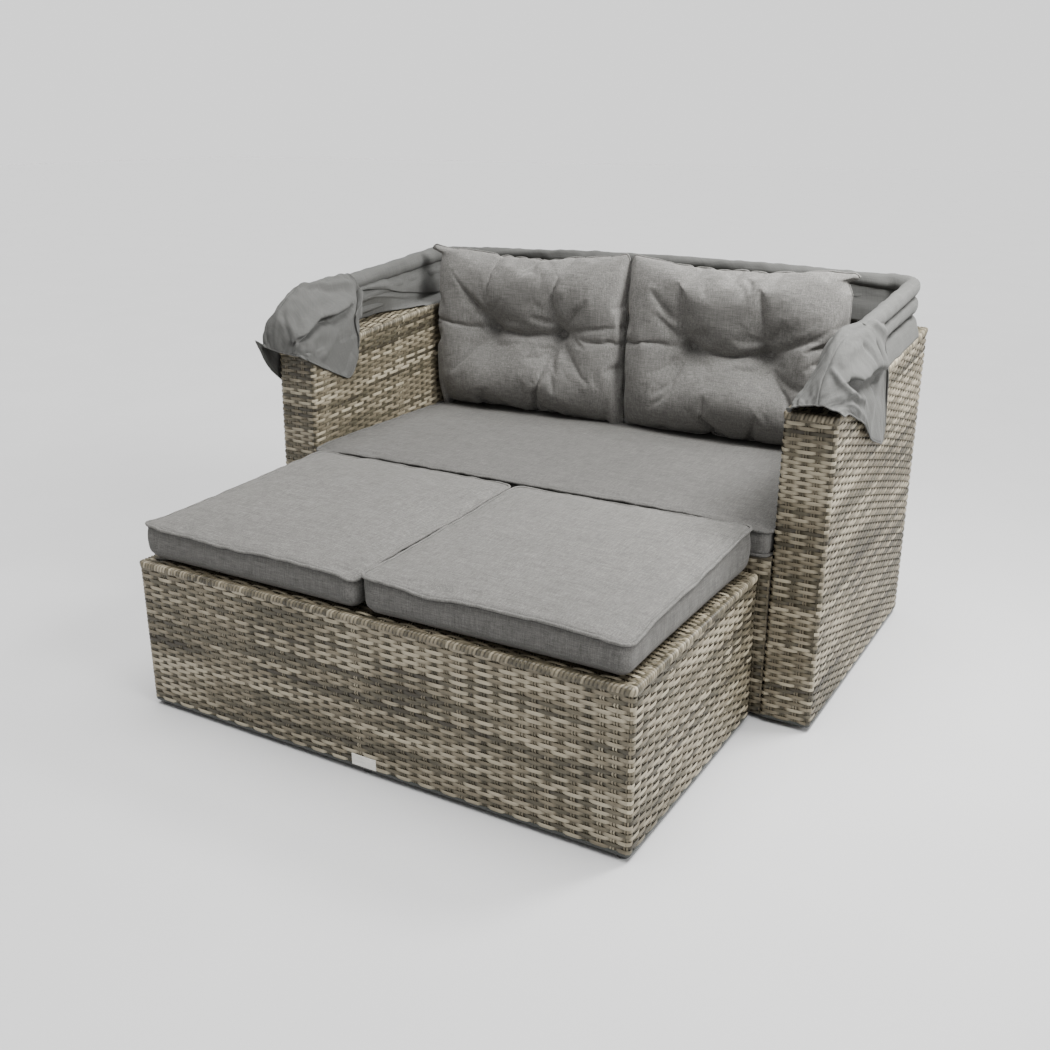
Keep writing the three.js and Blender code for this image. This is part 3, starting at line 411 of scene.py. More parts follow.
def grid_object(name, points, uv=None, tone=None, skip_rows=None, skip_columns=None, close=False):
    """A grid of faces through points[row, column], without those that start at skipped rows or columns."""
    rows, columns = points.shape[:2]
    uv = np.zeros((rows, columns, 2)) if uv is None else uv
    tone = np.zeros((rows, columns)) if tone is None else tone
    skip_rows = np.zeros(rows, bool) if skip_rows is None else skip_rows
    skip_columns = np.zeros(columns, bool) if skip_columns is None else skip_columns
    bm = bmesh.new()
    bmesh.ops.create_grid(bm, x_segments=columns - 1, y_segments=rows - 1, size=1.0)
    at = np.array([v.co for v in bm.verts])
    column = np.rint((at[:, 0] + 1) / 2 * (columns - 1)).astype(int)
    row = np.rint((at[:, 1] + 1) / 2 * (rows - 1)).astype(int)
    if skip_rows.any() or skip_columns.any():
        bm.verts.index_update()
        gaps = []
        for face in bm.faces:
            first = min(v.index for v in face.verts)
            if skip_rows[row[first]] or skip_columns[column[first]]:
                gaps.append(face)
        bmesh.ops.delete(bm, geom=gaps, context="FACES")
    mesh = bpy.data.meshes.new(name)
    bm.to_mesh(mesh)
    bm.free()
    mesh.vertices.foreach_set("co", points[row, column].astype(np.float32).ravel())
    layer = mesh.attributes.new("tone", "FLOAT", "POINT")
    layer.data.foreach_set("value", tone[row, column].astype(np.float32))
    layer = mesh.uv_layers.new(name="cloth")
    corner = np.empty(len(mesh.loops), dtype=np.int64)
    mesh.loops.foreach_get("vertex_index", corner)
    layer.data.foreach_set("uv", uv[row, column][corner].astype(np.float32).ravel())
    mesh.shade_smooth()
    made = bpy.data.objects.new(name, mesh)
    bpy.context.scene.collection.objects.link(made)
    if close:
        merge(made)
    return made


def flat_places(along, across, shape):
    """Where each point of a grid lies on the strip or cloth laid flat."""
    return np.stack([np.broadcast_to(along, shape), np.broadcast_to(across, shape)], axis=-1)


def merge(made, distance=WELD):
    """Points of the mesh that lie together become one."""
    bm = bmesh.new()
    bm.from_mesh(made.data)
    bmesh.ops.remove_doubles(bm, verts=bm.verts, dist=distance)
    bm.to_mesh(made.data)
    bm.free()
    made.data.shade_smooth()


def outward(made):
    """The mesh's faces point outwards."""
    bm = bmesh.new()
    bm.from_mesh(made.data)
    bmesh.ops.recalc_face_normals(bm, faces=bm.faces)
    bm.to_mesh(made.data)
    bm.free()


def dress(made, finish):
    """Give the piece one finish all over."""
    made.data.materials.clear()
    made.data.materials.append(finish_named(finish))
    return made


def join(first, *others):
    """Others become part of first, each with its own material."""
    parts = [first, *others]
    chosen = {"active_object": first, "object": first, "selected_objects": parts}
    with bpy.context.temp_override(selected_editable_objects=parts, **chosen):
        bpy.ops.object.join()
    return first


def stand_for(made, node, body):
    """The piece moves with its body and takes the place of the frame's own node."""
    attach(made, body)
    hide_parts(node)
    return made


def arc_lengths(points):
    """How far along a line of points each one lies."""
    steps = np.linalg.norm(np.diff(points, axis=0), axis=-1)
    return np.concatenate([[0.0], np.cumsum(steps)])


def edge_loop(points):
    """Once round the border of points[row, column]."""
    return np.concatenate([points[0, :-1], points[:-1, -1], points[-1, :0:-1], points[:0:-1, 0]])


def positions(made):
    points = np.empty(len(made.data.vertices) * 3)
    made.data.vertices.foreach_get("co", points)
    return points.reshape(-1, 3)


def place_all(made, points):
    made.data.vertices.foreach_set("co", np.asarray(points, np.float32).ravel())
    made.data.update()


def bake(made):
    """Apply the piece's modifiers."""
    graph = bpy.context.evaluated_depsgraph_get()
    done = bpy.data.meshes.new_from_object(made.evaluated_get(graph))
    made.modifiers.clear()
    made.data = done
    made.data.shade_smooth()


# Weaving

CORNER_STEPS = 6
# A random wave starts anywhere in a little over a full turn
WAVE_START = 6.3
# A strip: its share of the row on either side of its middle, its wander off the row, how near a stake it
# dips, its sag between stakes, how far its edges curl back, and its slow rise and fall
STRIP_SHARE = 0.48
WANDER_SHARE = 0.05
WANDER_LENGTH = 0.11
DIP_REACH = 0.0076
SAG_SHARE = 0.35
EDGE_CURL = 0.0010
SWAY = 0.00015
SWAY_LENGTH = 0.07
# Depth of the stakes' middle and of the backing behind it, as shares of the weave's relief
MIDDLE_SHARE = 0.68
BACKING_SHARE = 1.25
# A pair of flat stakes: both edges of each, from the pair's middle
STAKE_EDGES = (-0.0048, -0.0010, 0.0010, 0.0048)
# Stake tones, kept low partly as painted shade of the recesses where the strips dip behind them: the share of
# bright stakes, their tone, and the range of the others
STAKE_BRIGHT_SHARE = 0.10
STAKE_BRIGHT = 0.80
STAKE_TONES = (0.24, 0.60)
STAKE_GRAIN = 0.06
# Tones along a row: patches, the row itself and a band of rows, then middle tone, contrast, lift and shadow
BAND_ROWS = 6
BAND_LENGTH = 0.35
PATCH_LENGTH = 0.16
PATCH_SHARE = 0.50
ROW_SHARE = 0.34
BAND_SHARE = 0.22
TONE_MIDDLE = 0.53
TONE_CONTRAST = 1.60
TONE_LIFT = 0.62
TONE_SHADOW = 0.25
TONE_LOWEST = 0.02
# Flat places of strips and stakes keep their patterns apart
ROW_APART = 0.013
EDGE_APART = 0.004
STAKE_APART = 5.0
STAKE_SQUEEZE = 0.4
# The bound rim: depth and drop of its section from the wall's face over the edge, how proud it stands, the
# width of one wrap and the ridge of each wrap
RIM_SECTION = np.array([
    (0.0016, 0.0150), (0.0002, 0.0110), (-0.0002, 0.0065), (0.0010, 0.0022),
    (0.0034, 0.0002), (0.0075, -0.0002), (0.0120, 0.0004), (0.0155, 0.0020),
])
RIM_PROUD_DEPTH = 0.0012
RIM_PROUD_HEIGHT = 0.0006
RIM_PITCH = 0.0088
RIM_RIDGE = 0.0017
RIM_STEPS = 5
RIM_SQUEEZE = 0.25
# Tones of the rim: each wrap's own, slow patches, the shadow between wraps and a lift
RIM_WRAP_SHARE = 0.60
RIM_PATCH_SHARE = 0.40
RIM_PATCH_LENGTH = 0.12
RIM_SHADOW = 0.45
RIM_LIFT = 0.06
RIM_CONTRAST = 1.1
# The binding along the floor: depth and height of its section
BINDING_SECTION = np.array([
    (0.0045, 0.008), (0.0004, 0.0076), (-0.0004, 0.0065), (-0.0004, 0.002), (0.0010, 0.0), (0.0055, 0.0),
])
BINDING_HEIGHT = 0.006
BINDING_STEP = 0.006
LID_INSET = 0.004
LID_STEPS = 3


def around(low, high, radius):
    """Once round an upright box with round corners, anticlockwise: places, ways out and lengths."""
    centres = (
        ((high[0] - radius, low[1] + radius), -90),
        ((high[0] - radius, high[1] - radius), 0),
        ((low[0] + radius, high[1] - radius), 90),
        ((low[0] + radius, low[1] + radius), 180),
    )
    places, outs = [], []
    for (x, y), start in centres:
        for step in range(CORNER_STEPS + 1):
            angle = math.radians(start + 90 * step / CORNER_STEPS)
            out = (math.cos(angle), math.sin(angle))
            places.append((x + radius * out[0], y + radius * out[1]))
            outs.append(out)
    places = np.array([*places, places[0]])
    outs = np.array([*outs, outs[0]])
    return places, outs, arc_lengths(places)


def wall(low, high, radius, top, lean):
    """place(s, t, depth) on the walls of a woven box, and the length once round it."""
    places, outs, lengths = around(low, high, radius)
    total = lengths[-1]

    def place(s, t, depth):
        s = np.mod(s, total)
        x = np.interp(s, lengths, places[:, 0]) - depth * np.interp(s, lengths, outs[:, 0])
        y = np.interp(s, lengths, places[:, 1]) - depth * np.interp(s, lengths, outs[:, 1])
        slant = lean * (high[1] - y) / (high[1] - low[1])
        z = low[2] + (top(y + slant) - low[2]) * t
        return np.stack([x, y + slant * t, z], axis=-1)

    return place, total


def panel(corner, along, up, out):
    """place(s, t, depth) on a flat woven panel, and its length and height."""
    corner, along, up, out = (np.array(v, float) for v in (corner, along, up, out))
    length, height = np.linalg.norm(along), np.linalg.norm(up)

    def place(s, t, depth):
        s, t, depth = np.broadcast_arrays(s, t, depth)
        return corner + along * (s / length)[..., None] + up * t[..., None] - out * depth[..., None]

    return place, length, height


def patches(rng, rows, s, knot):
    """Tones along each row: random values at knots, joined smoothly."""
    count = int(s[-1] / knot) + 3
    values = rng.random((rows, count))
    at = s / knot
    first = np.minimum(at.astype(int), count - 2)
    share = at - first
    share = share * share * (3 - 2 * share)
    return values[:, first] * (1 - share) + values[:, first + 1] * share


def row_tones(rng, rows, s):
    """Tones along each row from slow patches, the row's own tone and the tone of its band of rows."""
    bands = max(3, rows // BAND_ROWS + 2)
    band = patches(rng, bands, s, BAND_LENGTH)[np.minimum(np.arange(rows) // BAND_ROWS, bands - 1)]
    patch = patches(rng, rows, s, PATCH_LENGTH)
    tone = PATCH_SHARE * patch + ROW_SHARE * rng.random((rows, 1)) + BAND_SHARE * band
    return (tone - TONE_MIDDLE) * TONE_CONTRAST + TONE_LIFT


def weave(name, place, run, height, seed, closed, steps=4, low_t=0.0):
    """Flat strips woven over and under pairs of stakes, with a dark sheet behind them that paints the shade
    inside the hollow wall.
    """
    rng = np.random.default_rng(seed)
    relief = sizes().weave_relief
    middle = MIDDLE_SHARE * relief
    pairs = max(2, 2 * round(run / sizes().stake_pitch / 2))
    pitch = run / pairs
    rows = max(2, round(height / sizes().strip_pitch))
    s = np.arange(pairs * steps + 1) * pitch / steps

    def strips():
        row = np.repeat(np.arange(rows), 3)
        across = np.tile([-1.0, 0.0, 1.0], rows)[:, None]
        wander = WANDER_SHARE * np.sin(s / WANDER_LENGTH + rng.uniform(0, WAVE_START, rows)[:, None])
        t = (row[:, None] + 0.5 + STRIP_SHARE * across + wander[row]) / rows
        t = low_t + (1 - low_t) * np.clip(t, 0.0, 1.0)
        from_stake = np.abs(np.mod(s / pitch + row[:, None], 2.0) - 1.0) * pitch
        over = 1 - 2 * bell(from_stake, DIP_REACH) + SAG_SHARE * (1 - (1 - from_stake / pitch) ** 2)
        depth = middle - relief * over + EDGE_CURL * across**2
        depth += SWAY * np.sin(s / SWAY_LENGTH + rng.uniform(0, WAVE_START, rows)[:, None])[row]
        points = place(np.broadcast_to(s, t.shape), t, depth)
        tone = row_tones(rng, rows, s)[row] - TONE_SHADOW * np.clip(1 - over, 0, 2)
        uv = flat_places(s, row[:, None] * ROW_APART + across * EDGE_APART, t.shape)
        made = grid_object(name, points, uv, np.clip(tone, TONE_LOWEST, 1.0),
                           skip_rows=np.arange(rows * 3) % 3 == 2, close=closed)
        return dress(made, "wicker")

    def stakes():
        count = pairs if closed else pairs + 1
        pair = np.repeat(np.arange(count), len(STAKE_EDGES))
        levels = np.concatenate([[0], np.arange(1, 2 * rows, 2), [2 * rows]])[:, None]
        t = low_t + (1 - low_t) * levels / (2 * rows)
        swing = np.where(levels % 2 == 1, np.cos(math.pi * (pair + (levels - 1) / 2)), 0.0)
        at = np.broadcast_to(pair * pitch + np.tile(STAKE_EDGES, count), swing.shape)
        if not closed:
            at = np.clip(at, 0.0, run)
        points = place(at, np.broadcast_to(t, swing.shape), middle + relief * swing)
        # Most stakes take low tones, partly painted shade of the recesses behind the strips
        is_bright = rng.random(count) < STAKE_BRIGHT_SHARE
        tone = np.where(is_bright, STAKE_BRIGHT, rng.uniform(*STAKE_TONES, count))[pair]
        tone = np.clip(tone + rng.normal(0, STAKE_GRAIN, (len(t), 1)), 0.0, 1.0)
        uv = flat_places(t * height, at * STAKE_SQUEEZE + STAKE_APART, swing.shape)
        made = grid_object(name + "_stakes", points, uv, tone, skip_columns=np.arange(len(pair)) % 2 == 1)
        return dress(made, "wicker")

    # The dark sheet that paints the shade behind the strips
    def backing():
        along = s[:: max(1, steps // 2)]
        shape = (2, len(along))
        t = np.broadcast_to(np.array([[low_t], [1.0]]), shape)
        points = place(np.broadcast_to(along, shape), t, np.full(shape, middle + BACKING_SHARE * relief))
        return dress(grid_object(name + "_backing", points), "backing")

    return join(strips(), stakes(), backing())


def rim(name, place, run, rng):
    """The bound top edge: strips wound round a rod along the edge."""
    turns = round(run / RIM_PITCH)
    wrap = run / turns
    s = np.arange(turns * RIM_STEPS + 1) * wrap / RIM_STEPS
    ridge = RIM_RIDGE * np.abs(np.sin(math.pi * s / wrap)) ** 0.6
    shape = (len(RIM_SECTION), len(s))
    depth = RIM_SECTION[:, :1] - RIM_PROUD_DEPTH - ridge
    slant = np.linspace(-0.5, 0.5, len(RIM_SECTION))[:, None] * wrap
    points = place(s + slant, np.ones(shape), depth)
    points[..., 2] -= RIM_SECTION[:, 1:] - RIM_PROUD_HEIGHT - ridge
    wraps = rng.random(turns + 2)
    slow = patches(rng, 1, s, RIM_PATCH_LENGTH)[0]
    wind = np.minimum(((s + wrap / (2 * RIM_STEPS)) / wrap).astype(int), turns + 1)
    shadow = RIM_SHADOW * (1 - ridge / RIM_RIDGE)
    tone = RIM_WRAP_SHARE * wraps[wind] + RIM_PATCH_SHARE * slow - shadow + RIM_LIFT
    tone = np.broadcast_to(np.clip(tone * RIM_CONTRAST + TONE_LOWEST, TONE_LOWEST, 1.0), shape)
    uv = flat_places(arc_lengths(RIM_SECTION)[:, None], s * RIM_SQUEEZE, shape)
    return dress(grid_object(name, points, uv, tone, close=True), "wicker")


def bottom_binding(name, place, run):
    """The dark binding along the floor."""
    s = np.linspace(0.0, run, round(run / BINDING_STEP) + 1)
    shape = (len(BINDING_SECTION), len(s))
    points = place(np.broadcast_to(s, shape), np.zeros(shape), np.broadcast_to(BINDING_SECTION[:, :1], shape))
    points[..., 2] += BINDING_SECTION[:, 1:]
    return dress(grid_object(name, points[::-1], close=True), "binding")


def woven_box(name, node, body, low, high, top, lean, seed, steps=4):
    """A woven box: four walls, a top panel, a bound rim and a dark binding along the floor."""
    place, run = wall(low, high, CORNER, top, lean)
    mean_height = (top(low[1]) + top(high[1])) / 2 - low[2]
    low_t = BINDING_HEIGHT / mean_height
    walls = weave(name, place, run, mean_height - BINDING_HEIGHT, seed, True, steps, low_t)
    front = low[1] + lean
    width = high[0] - low[0]
    rise = np.array([0.0, high[1] - front, top(high[1]) - top(front)])
    rise *= 1 - 2 * LID_INSET / (high[1] - front)
    start = (front + LID_INSET, top(front + LID_INSET))
    breadth = width - 2 * LID_INSET
    if width < high[1] - low[1]:
        lid, length, height = panel((high[0] - LID_INSET, *start), rise, (-breadth, 0, 0), (0, 0, 1))
    else:
        lid, length, height = panel((low[0] + LID_INSET, *start), (breadth, 0, 0), rise, (0, 0, 1))
    cover = weave(name + "_lid", lid, length, height, seed + 50, False, LID_STEPS)
    edge = rim(name + "_rim", place, run, np.random.default_rng(seed + 90))
    base = bottom_binding(name + "_base", place, run)
    return stand_for(join(walls, cover, edge, base), node, body)


# Woven pieces


class DAYBED_OT_arms(bpy.types.Operator):
    """Weave both arms"""

    bl_idname = "daybed.arms"
    bl_label = "Weave arms"

    def execute(self, context):
        for side, sign in (("right", 1), ("left", -1)):
            ends = sorted((sign * ARM_INSIDE, sign * HALF_WIDTH))
            low, high = (ends[0], FRONT, LOW), (ends[1], REAR, ARM_REAR_Z)
            name, node, seed = f"{side}_arm_wicker", f"{side}_arm_weave", 11 + sign
            woven_box(name, node, "sofa", low, high, arm_top, ARM_LEAN, seed)
        return {"FINISHED"}


class DAYBED_OT_back(bpy.types.Operator):
    """Weave the back"""

    bl_idname = "daybed.back"
    bl_label = "Weave back"

    def execute(self, context):
        low, high = (Vector(corner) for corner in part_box("back_weave"))
        woven_box("back_wicker", "back_weave", "sofa", low, high, arm_top, 0.0, 31, steps=3)
        return {"FINISHED"}


class DAYBED_OT_seat(bpy.types.Operator):
    """Weave the panel under the seat's front edge and finish the deck"""

    bl_idname = "daybed.seat"
    bl_label = "Weave seat"

    def execute(self, context):
        low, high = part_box("seat_front_weave")
        width, height = high[0] - low[0], high[2] - low[2]
        place, length, tall = panel(low, (width, 0, 0), (0, 0, height), (0, -1, 0))
        made = weave("seat_front_wicker", place, length, tall, 41, False)
        stand_for(made, "seat_front_weave", "sofa")
        dress(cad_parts["seat_deck_weave"], "deck")
        return {"FINISHED"}


class DAYBED_OT_ottoman(bpy.types.Operator):
    """Weave the ottoman's box"""

    bl_idname = "daybed.ottoman"
    bl_label = "Weave ottoman"

    def execute(self, context):
        low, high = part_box("ottoman_weave")
        woven_box("ottoman_wicker", "ottoman_weave", "ottoman", low, high, lambda y: high[2], 0.0, 51)
        return {"FINISHED"}


# Cushions

# A box cushion: its corner radius, how far its sides pull in, how far its panels stop short of the seam, and
# how strongly the rows of faces crowd toward the seams
CUSHION_CORNER = 0.025
SIDE_PULL = 0.004
SEAM_INSET = 0.0035
CROWDING = 1.42
# Past this curl the lower seam is rolled under and shows no piping
ROLLED_CURL = 0.005
ROLL_REACH = 0.022
PIPING_OUT = 0.0028
PIPING_LIFT = 0.0010
PIPING_STEP = 0.008
# The painted shadow line under the piping: how far below it lies as a share of the piping's radius, its step
# and its radius
SHADOW_LINE_DROP_SHARE = 1.05
SHADOW_LINE_STEP = 0.010
SHADOW_LINE_RADIUS = 0.0011
# The cushions' crowns, how far they reach past their solids, the curl of their lower edges, and their facets
# across, deep and up
SEAT_CROWN = 0.009
SEAT_FORWARD = 0.007
SEAT_CURL = 0.004
SEAT_FACETS = (110, 76, 9)
OTTOMAN_CROWN = 0.016
OTTOMAN_BACKWARD = 0.006
OTTOMAN_CURL = 0.013
OTTOMAN_FACETS = (90, 90, 12)
# How the seams rise and fall: place from -1 to 1 across and deep, reach as a share, and height
SEAT_LIFTS = [(1.0, -1.0, 0.16, -0.010), (0.96, -1.0, 0.30, -0.004), (-1.0, -1.0, 0.15, -0.006)]
OTTOMAN_LIFTS = [(x, y, 0.75, 0.009 * y) for x in (-1, 0, 1) for y in (-1, 1)]
RIGHT_OTTOMAN_LIFTS = [
    (1, -1, 0.30, -0.009), (-0.42, -1, 0.15, -0.007), (1, -0.05, 0.12, -0.005), (-1, -1, 0.25, 0.005),
    (1, 0.8, 0.3, 0.004),
]
LEFT_OTTOMAN_LIFTS = [
    (1, -1, 0.11, -0.011), (0.9, -1, 0.35, -0.003), (-1, -1, 0.12, 0.008), (-0.2, -1, 0.30, -0.004),
    (1, 0.3, 0.3, -0.004),
]


def corner_round(u, v, half_x, half_y, radius):
    """Square places in -1..1 to places in a rectangle with round corners."""
    x, y = u * half_x, v * half_y
    past_x = np.clip((np.abs(x) - (half_x - radius)) / radius, 0, 1)
    past_y = np.clip((np.abs(y) - (half_y - radius)) / radius, 0, 1)
    reach = np.maximum(past_x, past_y)
    safe = np.maximum(reach, 1e-9)
    angle = np.where(past_x >= past_y, past_y / safe * math.pi / 4, math.pi / 2 - past_x / safe * math.pi / 4)
    corner = (past_x > 0) & (past_y > 0)
    x = np.where(corner, np.sign(x) * (half_x - radius + radius * reach * np.cos(angle)), x)
    y = np.where(corner, np.sign(y) * (half_y - radius + radius * reach * np.sin(angle)), y)
    return x, y


def tube(name, path, radius, sides=8, closed=True):
    """A round cord through a path of points."""
    if closed:
        before, after = np.roll(path, 1, axis=0), np.roll(path, -1, axis=0)
    else:
        before, after = np.vstack([path[:1], path[:-1]]), np.vstack([path[1:], path[-1:]])
    ahead = after - before
    ahead /= np.linalg.norm(ahead, axis=1)[:, None]
    side = np.cross(ahead, (0.0, 0.0, 1.0))
    flat = np.linalg.norm(side, axis=1) < 0.2
    side[flat] = np.cross(ahead[flat], (0.0, 1.0, 0.0))
    side /= np.linalg.norm(side, axis=1)[:, None]
    up = np.cross(side, ahead)
    angles = np.linspace(0, 2 * math.pi, sides + 1)
    ways = np.cos(angles)[:, None, None] * side + np.sin(angles)[:, None, None] * up
    ring = path + radius * ways
    if closed:
        ring = np.concatenate([ring, ring[:, :1]], axis=1)
    uv = flat_places(arc_lengths(ring[0]), angles[:, None] * radius, ring.shape[:2])
    made = grid_object(name, ring, uv, close=True)
    outward(made)
    return made


def thin(path, step):
    """The closed path's points about one step apart."""
    closed = np.vstack([path, path[:1]])
    lengths = arc_lengths(closed)
    at = np.linspace(0, lengths[-1], max(8, round(lengths[-1] / step)) + 1)[:-1]
    return np.stack([np.interp(at, lengths, closed[:, axis]) for axis in range(3)], axis=-1)


def box_cushion(name, low, high, crown, seed, facets, lifts, curl, cover):
    """A boxed cushion: a crowned top panel, a side band that pulls in, and piping on the top seam and, unless
    the lower edge is rolled under, on the lower seam.

    Each lift moves the top seam and what is near it: a place from -1 to 1 across and deep, a reach, a height.
    """
    low, high = np.array(low), np.array(high)
    half = (high - low) / 2
    middle = (high + low) / 2
    count_x, count_y, count_z = facets

    def pulled(x, y):
        """The sides pull in toward their middles."""
        pull_x = SIDE_PULL * (1 - (y / half[1]) ** 4) * np.abs(x / half[0]) ** 8
        pull_y = SIDE_PULL * (1 - (x / half[0]) ** 4) * np.abs(y / half[1]) ** 8
        return x - np.sign(x) * pull_x, y - np.sign(y) * pull_y

    def flat_panel():
        """Places of a panel's points, and how far each lies inside the seam."""
        u, v = np.meshgrid(np.linspace(-1, 1, count_x), np.linspace(-1, 1, count_y))
        u, v = np.sin(u * CROWDING) / math.sin(CROWDING), np.sin(v * CROWDING) / math.sin(CROWDING)
        x, y = corner_round(u, v, half[0] - SEAM_INSET, half[1] - SEAM_INSET, CUSHION_CORNER)
        inside = np.minimum((1 - np.abs(u)) * half[0], (1 - np.abs(v)) * half[1])
        x, y = pulled(x, y)
        return u, v, np.stack([x + middle[0], y + middle[1], np.zeros_like(x)], axis=-1), inside

    def top_panel():
        u, v, points, inside = flat_panel()
        swell = crown * ((1 - np.abs(u) ** 3.2) * (1 - np.abs(v) ** 3.2)) ** 0.75
        long_waves = 0.0016 * waves(points, 0.26, seed) * np.clip(inside / 0.05, 0, 1)
        puckers = 0.0050 * np.clip(waves(points, 0.085, seed + 2), 0, 1) * bell(inside - 0.022, 0.014)
        ripples = 0.0012 * waves(points, 0.032, seed + 3) * np.exp(-inside / 0.035)
        slow_waves = 0.0010 * waves(points, 0.11, seed + 6)
        seam_dip = 0.0045 * np.exp(-inside / 0.005)
        level = swell + long_waves - puckers + ripples + slow_waves - seam_dip
        points[..., 2] = middle[2] + half[2] + level
        x = (points[..., 0] - middle[0]) / half[0]
        y = (points[..., 1] - middle[1]) / half[1]
        lift = np.zeros_like(x)
        for across, deep, reach, height in lifts:
            lift += height * np.exp(-((x - across) ** 2 + (y - deep) ** 2) / reach**2)
        points[..., 2] += lift
        return points

    def bottom_panel():
        _, _, points, inside = flat_panel()
        rolled = curl * np.exp(-inside / ROLL_REACH)
        points[..., 2] = middle[2] - half[2] + rolled
        points[..., :2] -= (points[..., :2] - middle[:2]) / half[:2] * (0.7 * rolled)[..., None]
        return points

    def side_band(loop_top, loop_low):
        """The band between the seams, which bulges, and wrinkles most at the corners."""
        share = (np.linspace(0, 1, count_z) ** 1.4)[:, None, None]
        band = loop_low * (1 - share) + loop_top * share
        round_off = np.sin(np.clip(share / 0.24, 0, 1) * math.pi / 2)
        band[..., :2] = (loop_low * (1 - round_off) + loop_top * round_off)[..., :2]
        band = np.concatenate([band, band[:, :1]], axis=1)
        centre = band[..., :2] - middle[:2]
        away = np.abs(centre)
        out = np.sign(centre) * (away / half[:2]) ** 12
        out /= np.maximum(np.linalg.norm(out, axis=-1), 1e-9)[..., None]
        corner = np.clip((away[..., 0] / half[0] * away[..., 1] / half[1] - 0.72) / 0.2, 0, 1)
        from_corner = np.hypot(half[0] - away[..., 0], half[1] - away[..., 1])
        bulge = np.sin(math.pi * share[..., 0])
        flat = band * (1, 1, 0.35)
        swell = 0.0030 * bulge - 0.0012 + (0.0014 + 0.0030 * corner) * bulge * waves(flat, 0.045, seed + 4)
        swell += 0.0035 * bulge * bell(from_corner - 0.012, 0.007)
        swell += 0.0016 * bulge * waves(flat, 0.17, seed + 5)
        band[..., :2] += out * (swell * bulge**0.3)[..., None]
        return band

    top, bottom = top_panel(), bottom_panel()
    loop_top, loop_low = edge_loop(top), edge_loop(bottom)
    band = side_band(loop_top, loop_low)
    turned = bottom[:, ::-1]
    lid = dress(grid_object(name, top, top[..., :2]), cover)
    # The underside and the side band take the band cloth, painted darker as shade
    floor = dress(grid_object(name + "_floor", turned, turned[..., :2]), "band")
    side_uv = flat_places(arc_lengths(band[0]), band[..., 2], band.shape[:2])
    made = join(lid, floor, dress(grid_object(name + "_side", band, side_uv), "band"))
    merge(made, SEAM_WELD)
    seams = [(loop_top, PIPING_LIFT)]
    if curl <= ROLLED_CURL:
        seams.append((loop_low, 0.0))
    cords = []
    for loop, lift in seams:
        path = loop.copy()
        spread = loop[:, :2] - middle[:2]
        spread /= np.linalg.norm(spread, axis=1)[:, None]
        path[:, :2] += spread * PIPING_OUT
        path[:, 2] += lift
        cords.append(dress(tube(name + "_piping", thin(path, PIPING_STEP), sizes().piping_radius), cover))
        # A thin dark cord just under the piping paints the shadow line that the cord casts on the band
        shadow_path = path + (0.0, 0.0, -SHADOW_LINE_DROP_SHARE * sizes().piping_radius)
        cords.append(dress(tube(name + "_welt", thin(shadow_path, SHADOW_LINE_STEP), SHADOW_LINE_RADIUS, 5), "welt"))
    return join(made, *cords)


class DAYBED_OT_seat_cushion(bpy.types.Operator):
    """Sew the seat cushion"""

    bl_idname = "daybed.seat_cushion"
    bl_label = "Sew seat cushion"

    def execute(self, context):
        low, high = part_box("seat_cushion")
        low = (low[0], low[1] - SEAT_FORWARD, low[2])
        high = (high[0], high[1], high[2] - SEAT_CROWN)
        # The seat cover's own cloth is painted darker as the shade of the arms and the back
        made = box_cushion(
            "seat_cushion_cover", low, high, SEAT_CROWN, 61, SEAT_FACETS, SEAT_LIFTS, SEAT_CURL, "seat"
        )
        stand_for(made, "seat_cushion", "sofa")
        return {"FINISHED"}


class DAYBED_OT_ottoman_cushions(bpy.types.Operator):
    """Sew the two ottoman cushions"""

    bl_idname = "daybed.ottoman_cushions"
    bl_label = "Sew ottoman cushions"

    def execute(self, context):
        for side, seed, own_lifts in (("right", 71, RIGHT_OTTOMAN_LIFTS), ("left", 81, LEFT_OTTOMAN_LIFTS)):
            node = f"{side}_ottoman_cushion"
            low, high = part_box(node)
            high = (high[0], high[1] + OTTOMAN_BACKWARD, high[2] - OTTOMAN_CROWN)
            lifts = OTTOMAN_LIFTS + own_lifts
            made = box_cushion(
                f"{node}_cover", low, high, OTTOMAN_CROWN, seed,
                OTTOMAN_FACETS, lifts, OTTOMAN_CURL, "cushion",
            )
            stand_for(made, node, node)
        return {"FINISHED"}


def from_path(points, path):
    """Distance from each point to a path, how far along it (0 to 1) the nearest place is, and the side."""
    path = np.array(path, float)
    lengths = arc_lengths(path)
    best = np.full(points.shape[:-1], 1e9)
    along = np.zeros(points.shape[:-1])
    side = np.zeros(points.shape[:-1])
    for i in range(len(path) - 1):
        a, b = path[i], path[i + 1]
        line = b - a
        share = np.clip(((points - a) @ line) / (line @ line), 0, 1)
        off = points - (a + share[..., None] * line)
        distance = np.linalg.norm(off, axis=-1)
        nearer = distance < best
        best = np.where(nearer, distance, best)
        along = np.where(nearer, (lengths[i] + share * (lengths[i + 1] - lengths[i])) / lengths[-1], along)
        side = np.where(nearer, np.sign(line[0] * off[..., 1] - line[1] * off[..., 0]), side)
    return best, along, side


def crease(points, path, depth, width, start, end):
    """Depth of one crease that fades from its start to its end, with cloth that swells beside it."""
    distance, along, _ = from_path(points, path)
    fade = start + (end - start) * along
    core = 0.55 * bell(distance, width) + 0.45 * np.exp(-distance / (0.35 * width))
    shoulder = 0.22 * bell(distance - 2.0 * width, 0.9 * width)
    return depth * fade * (core - shoulder)


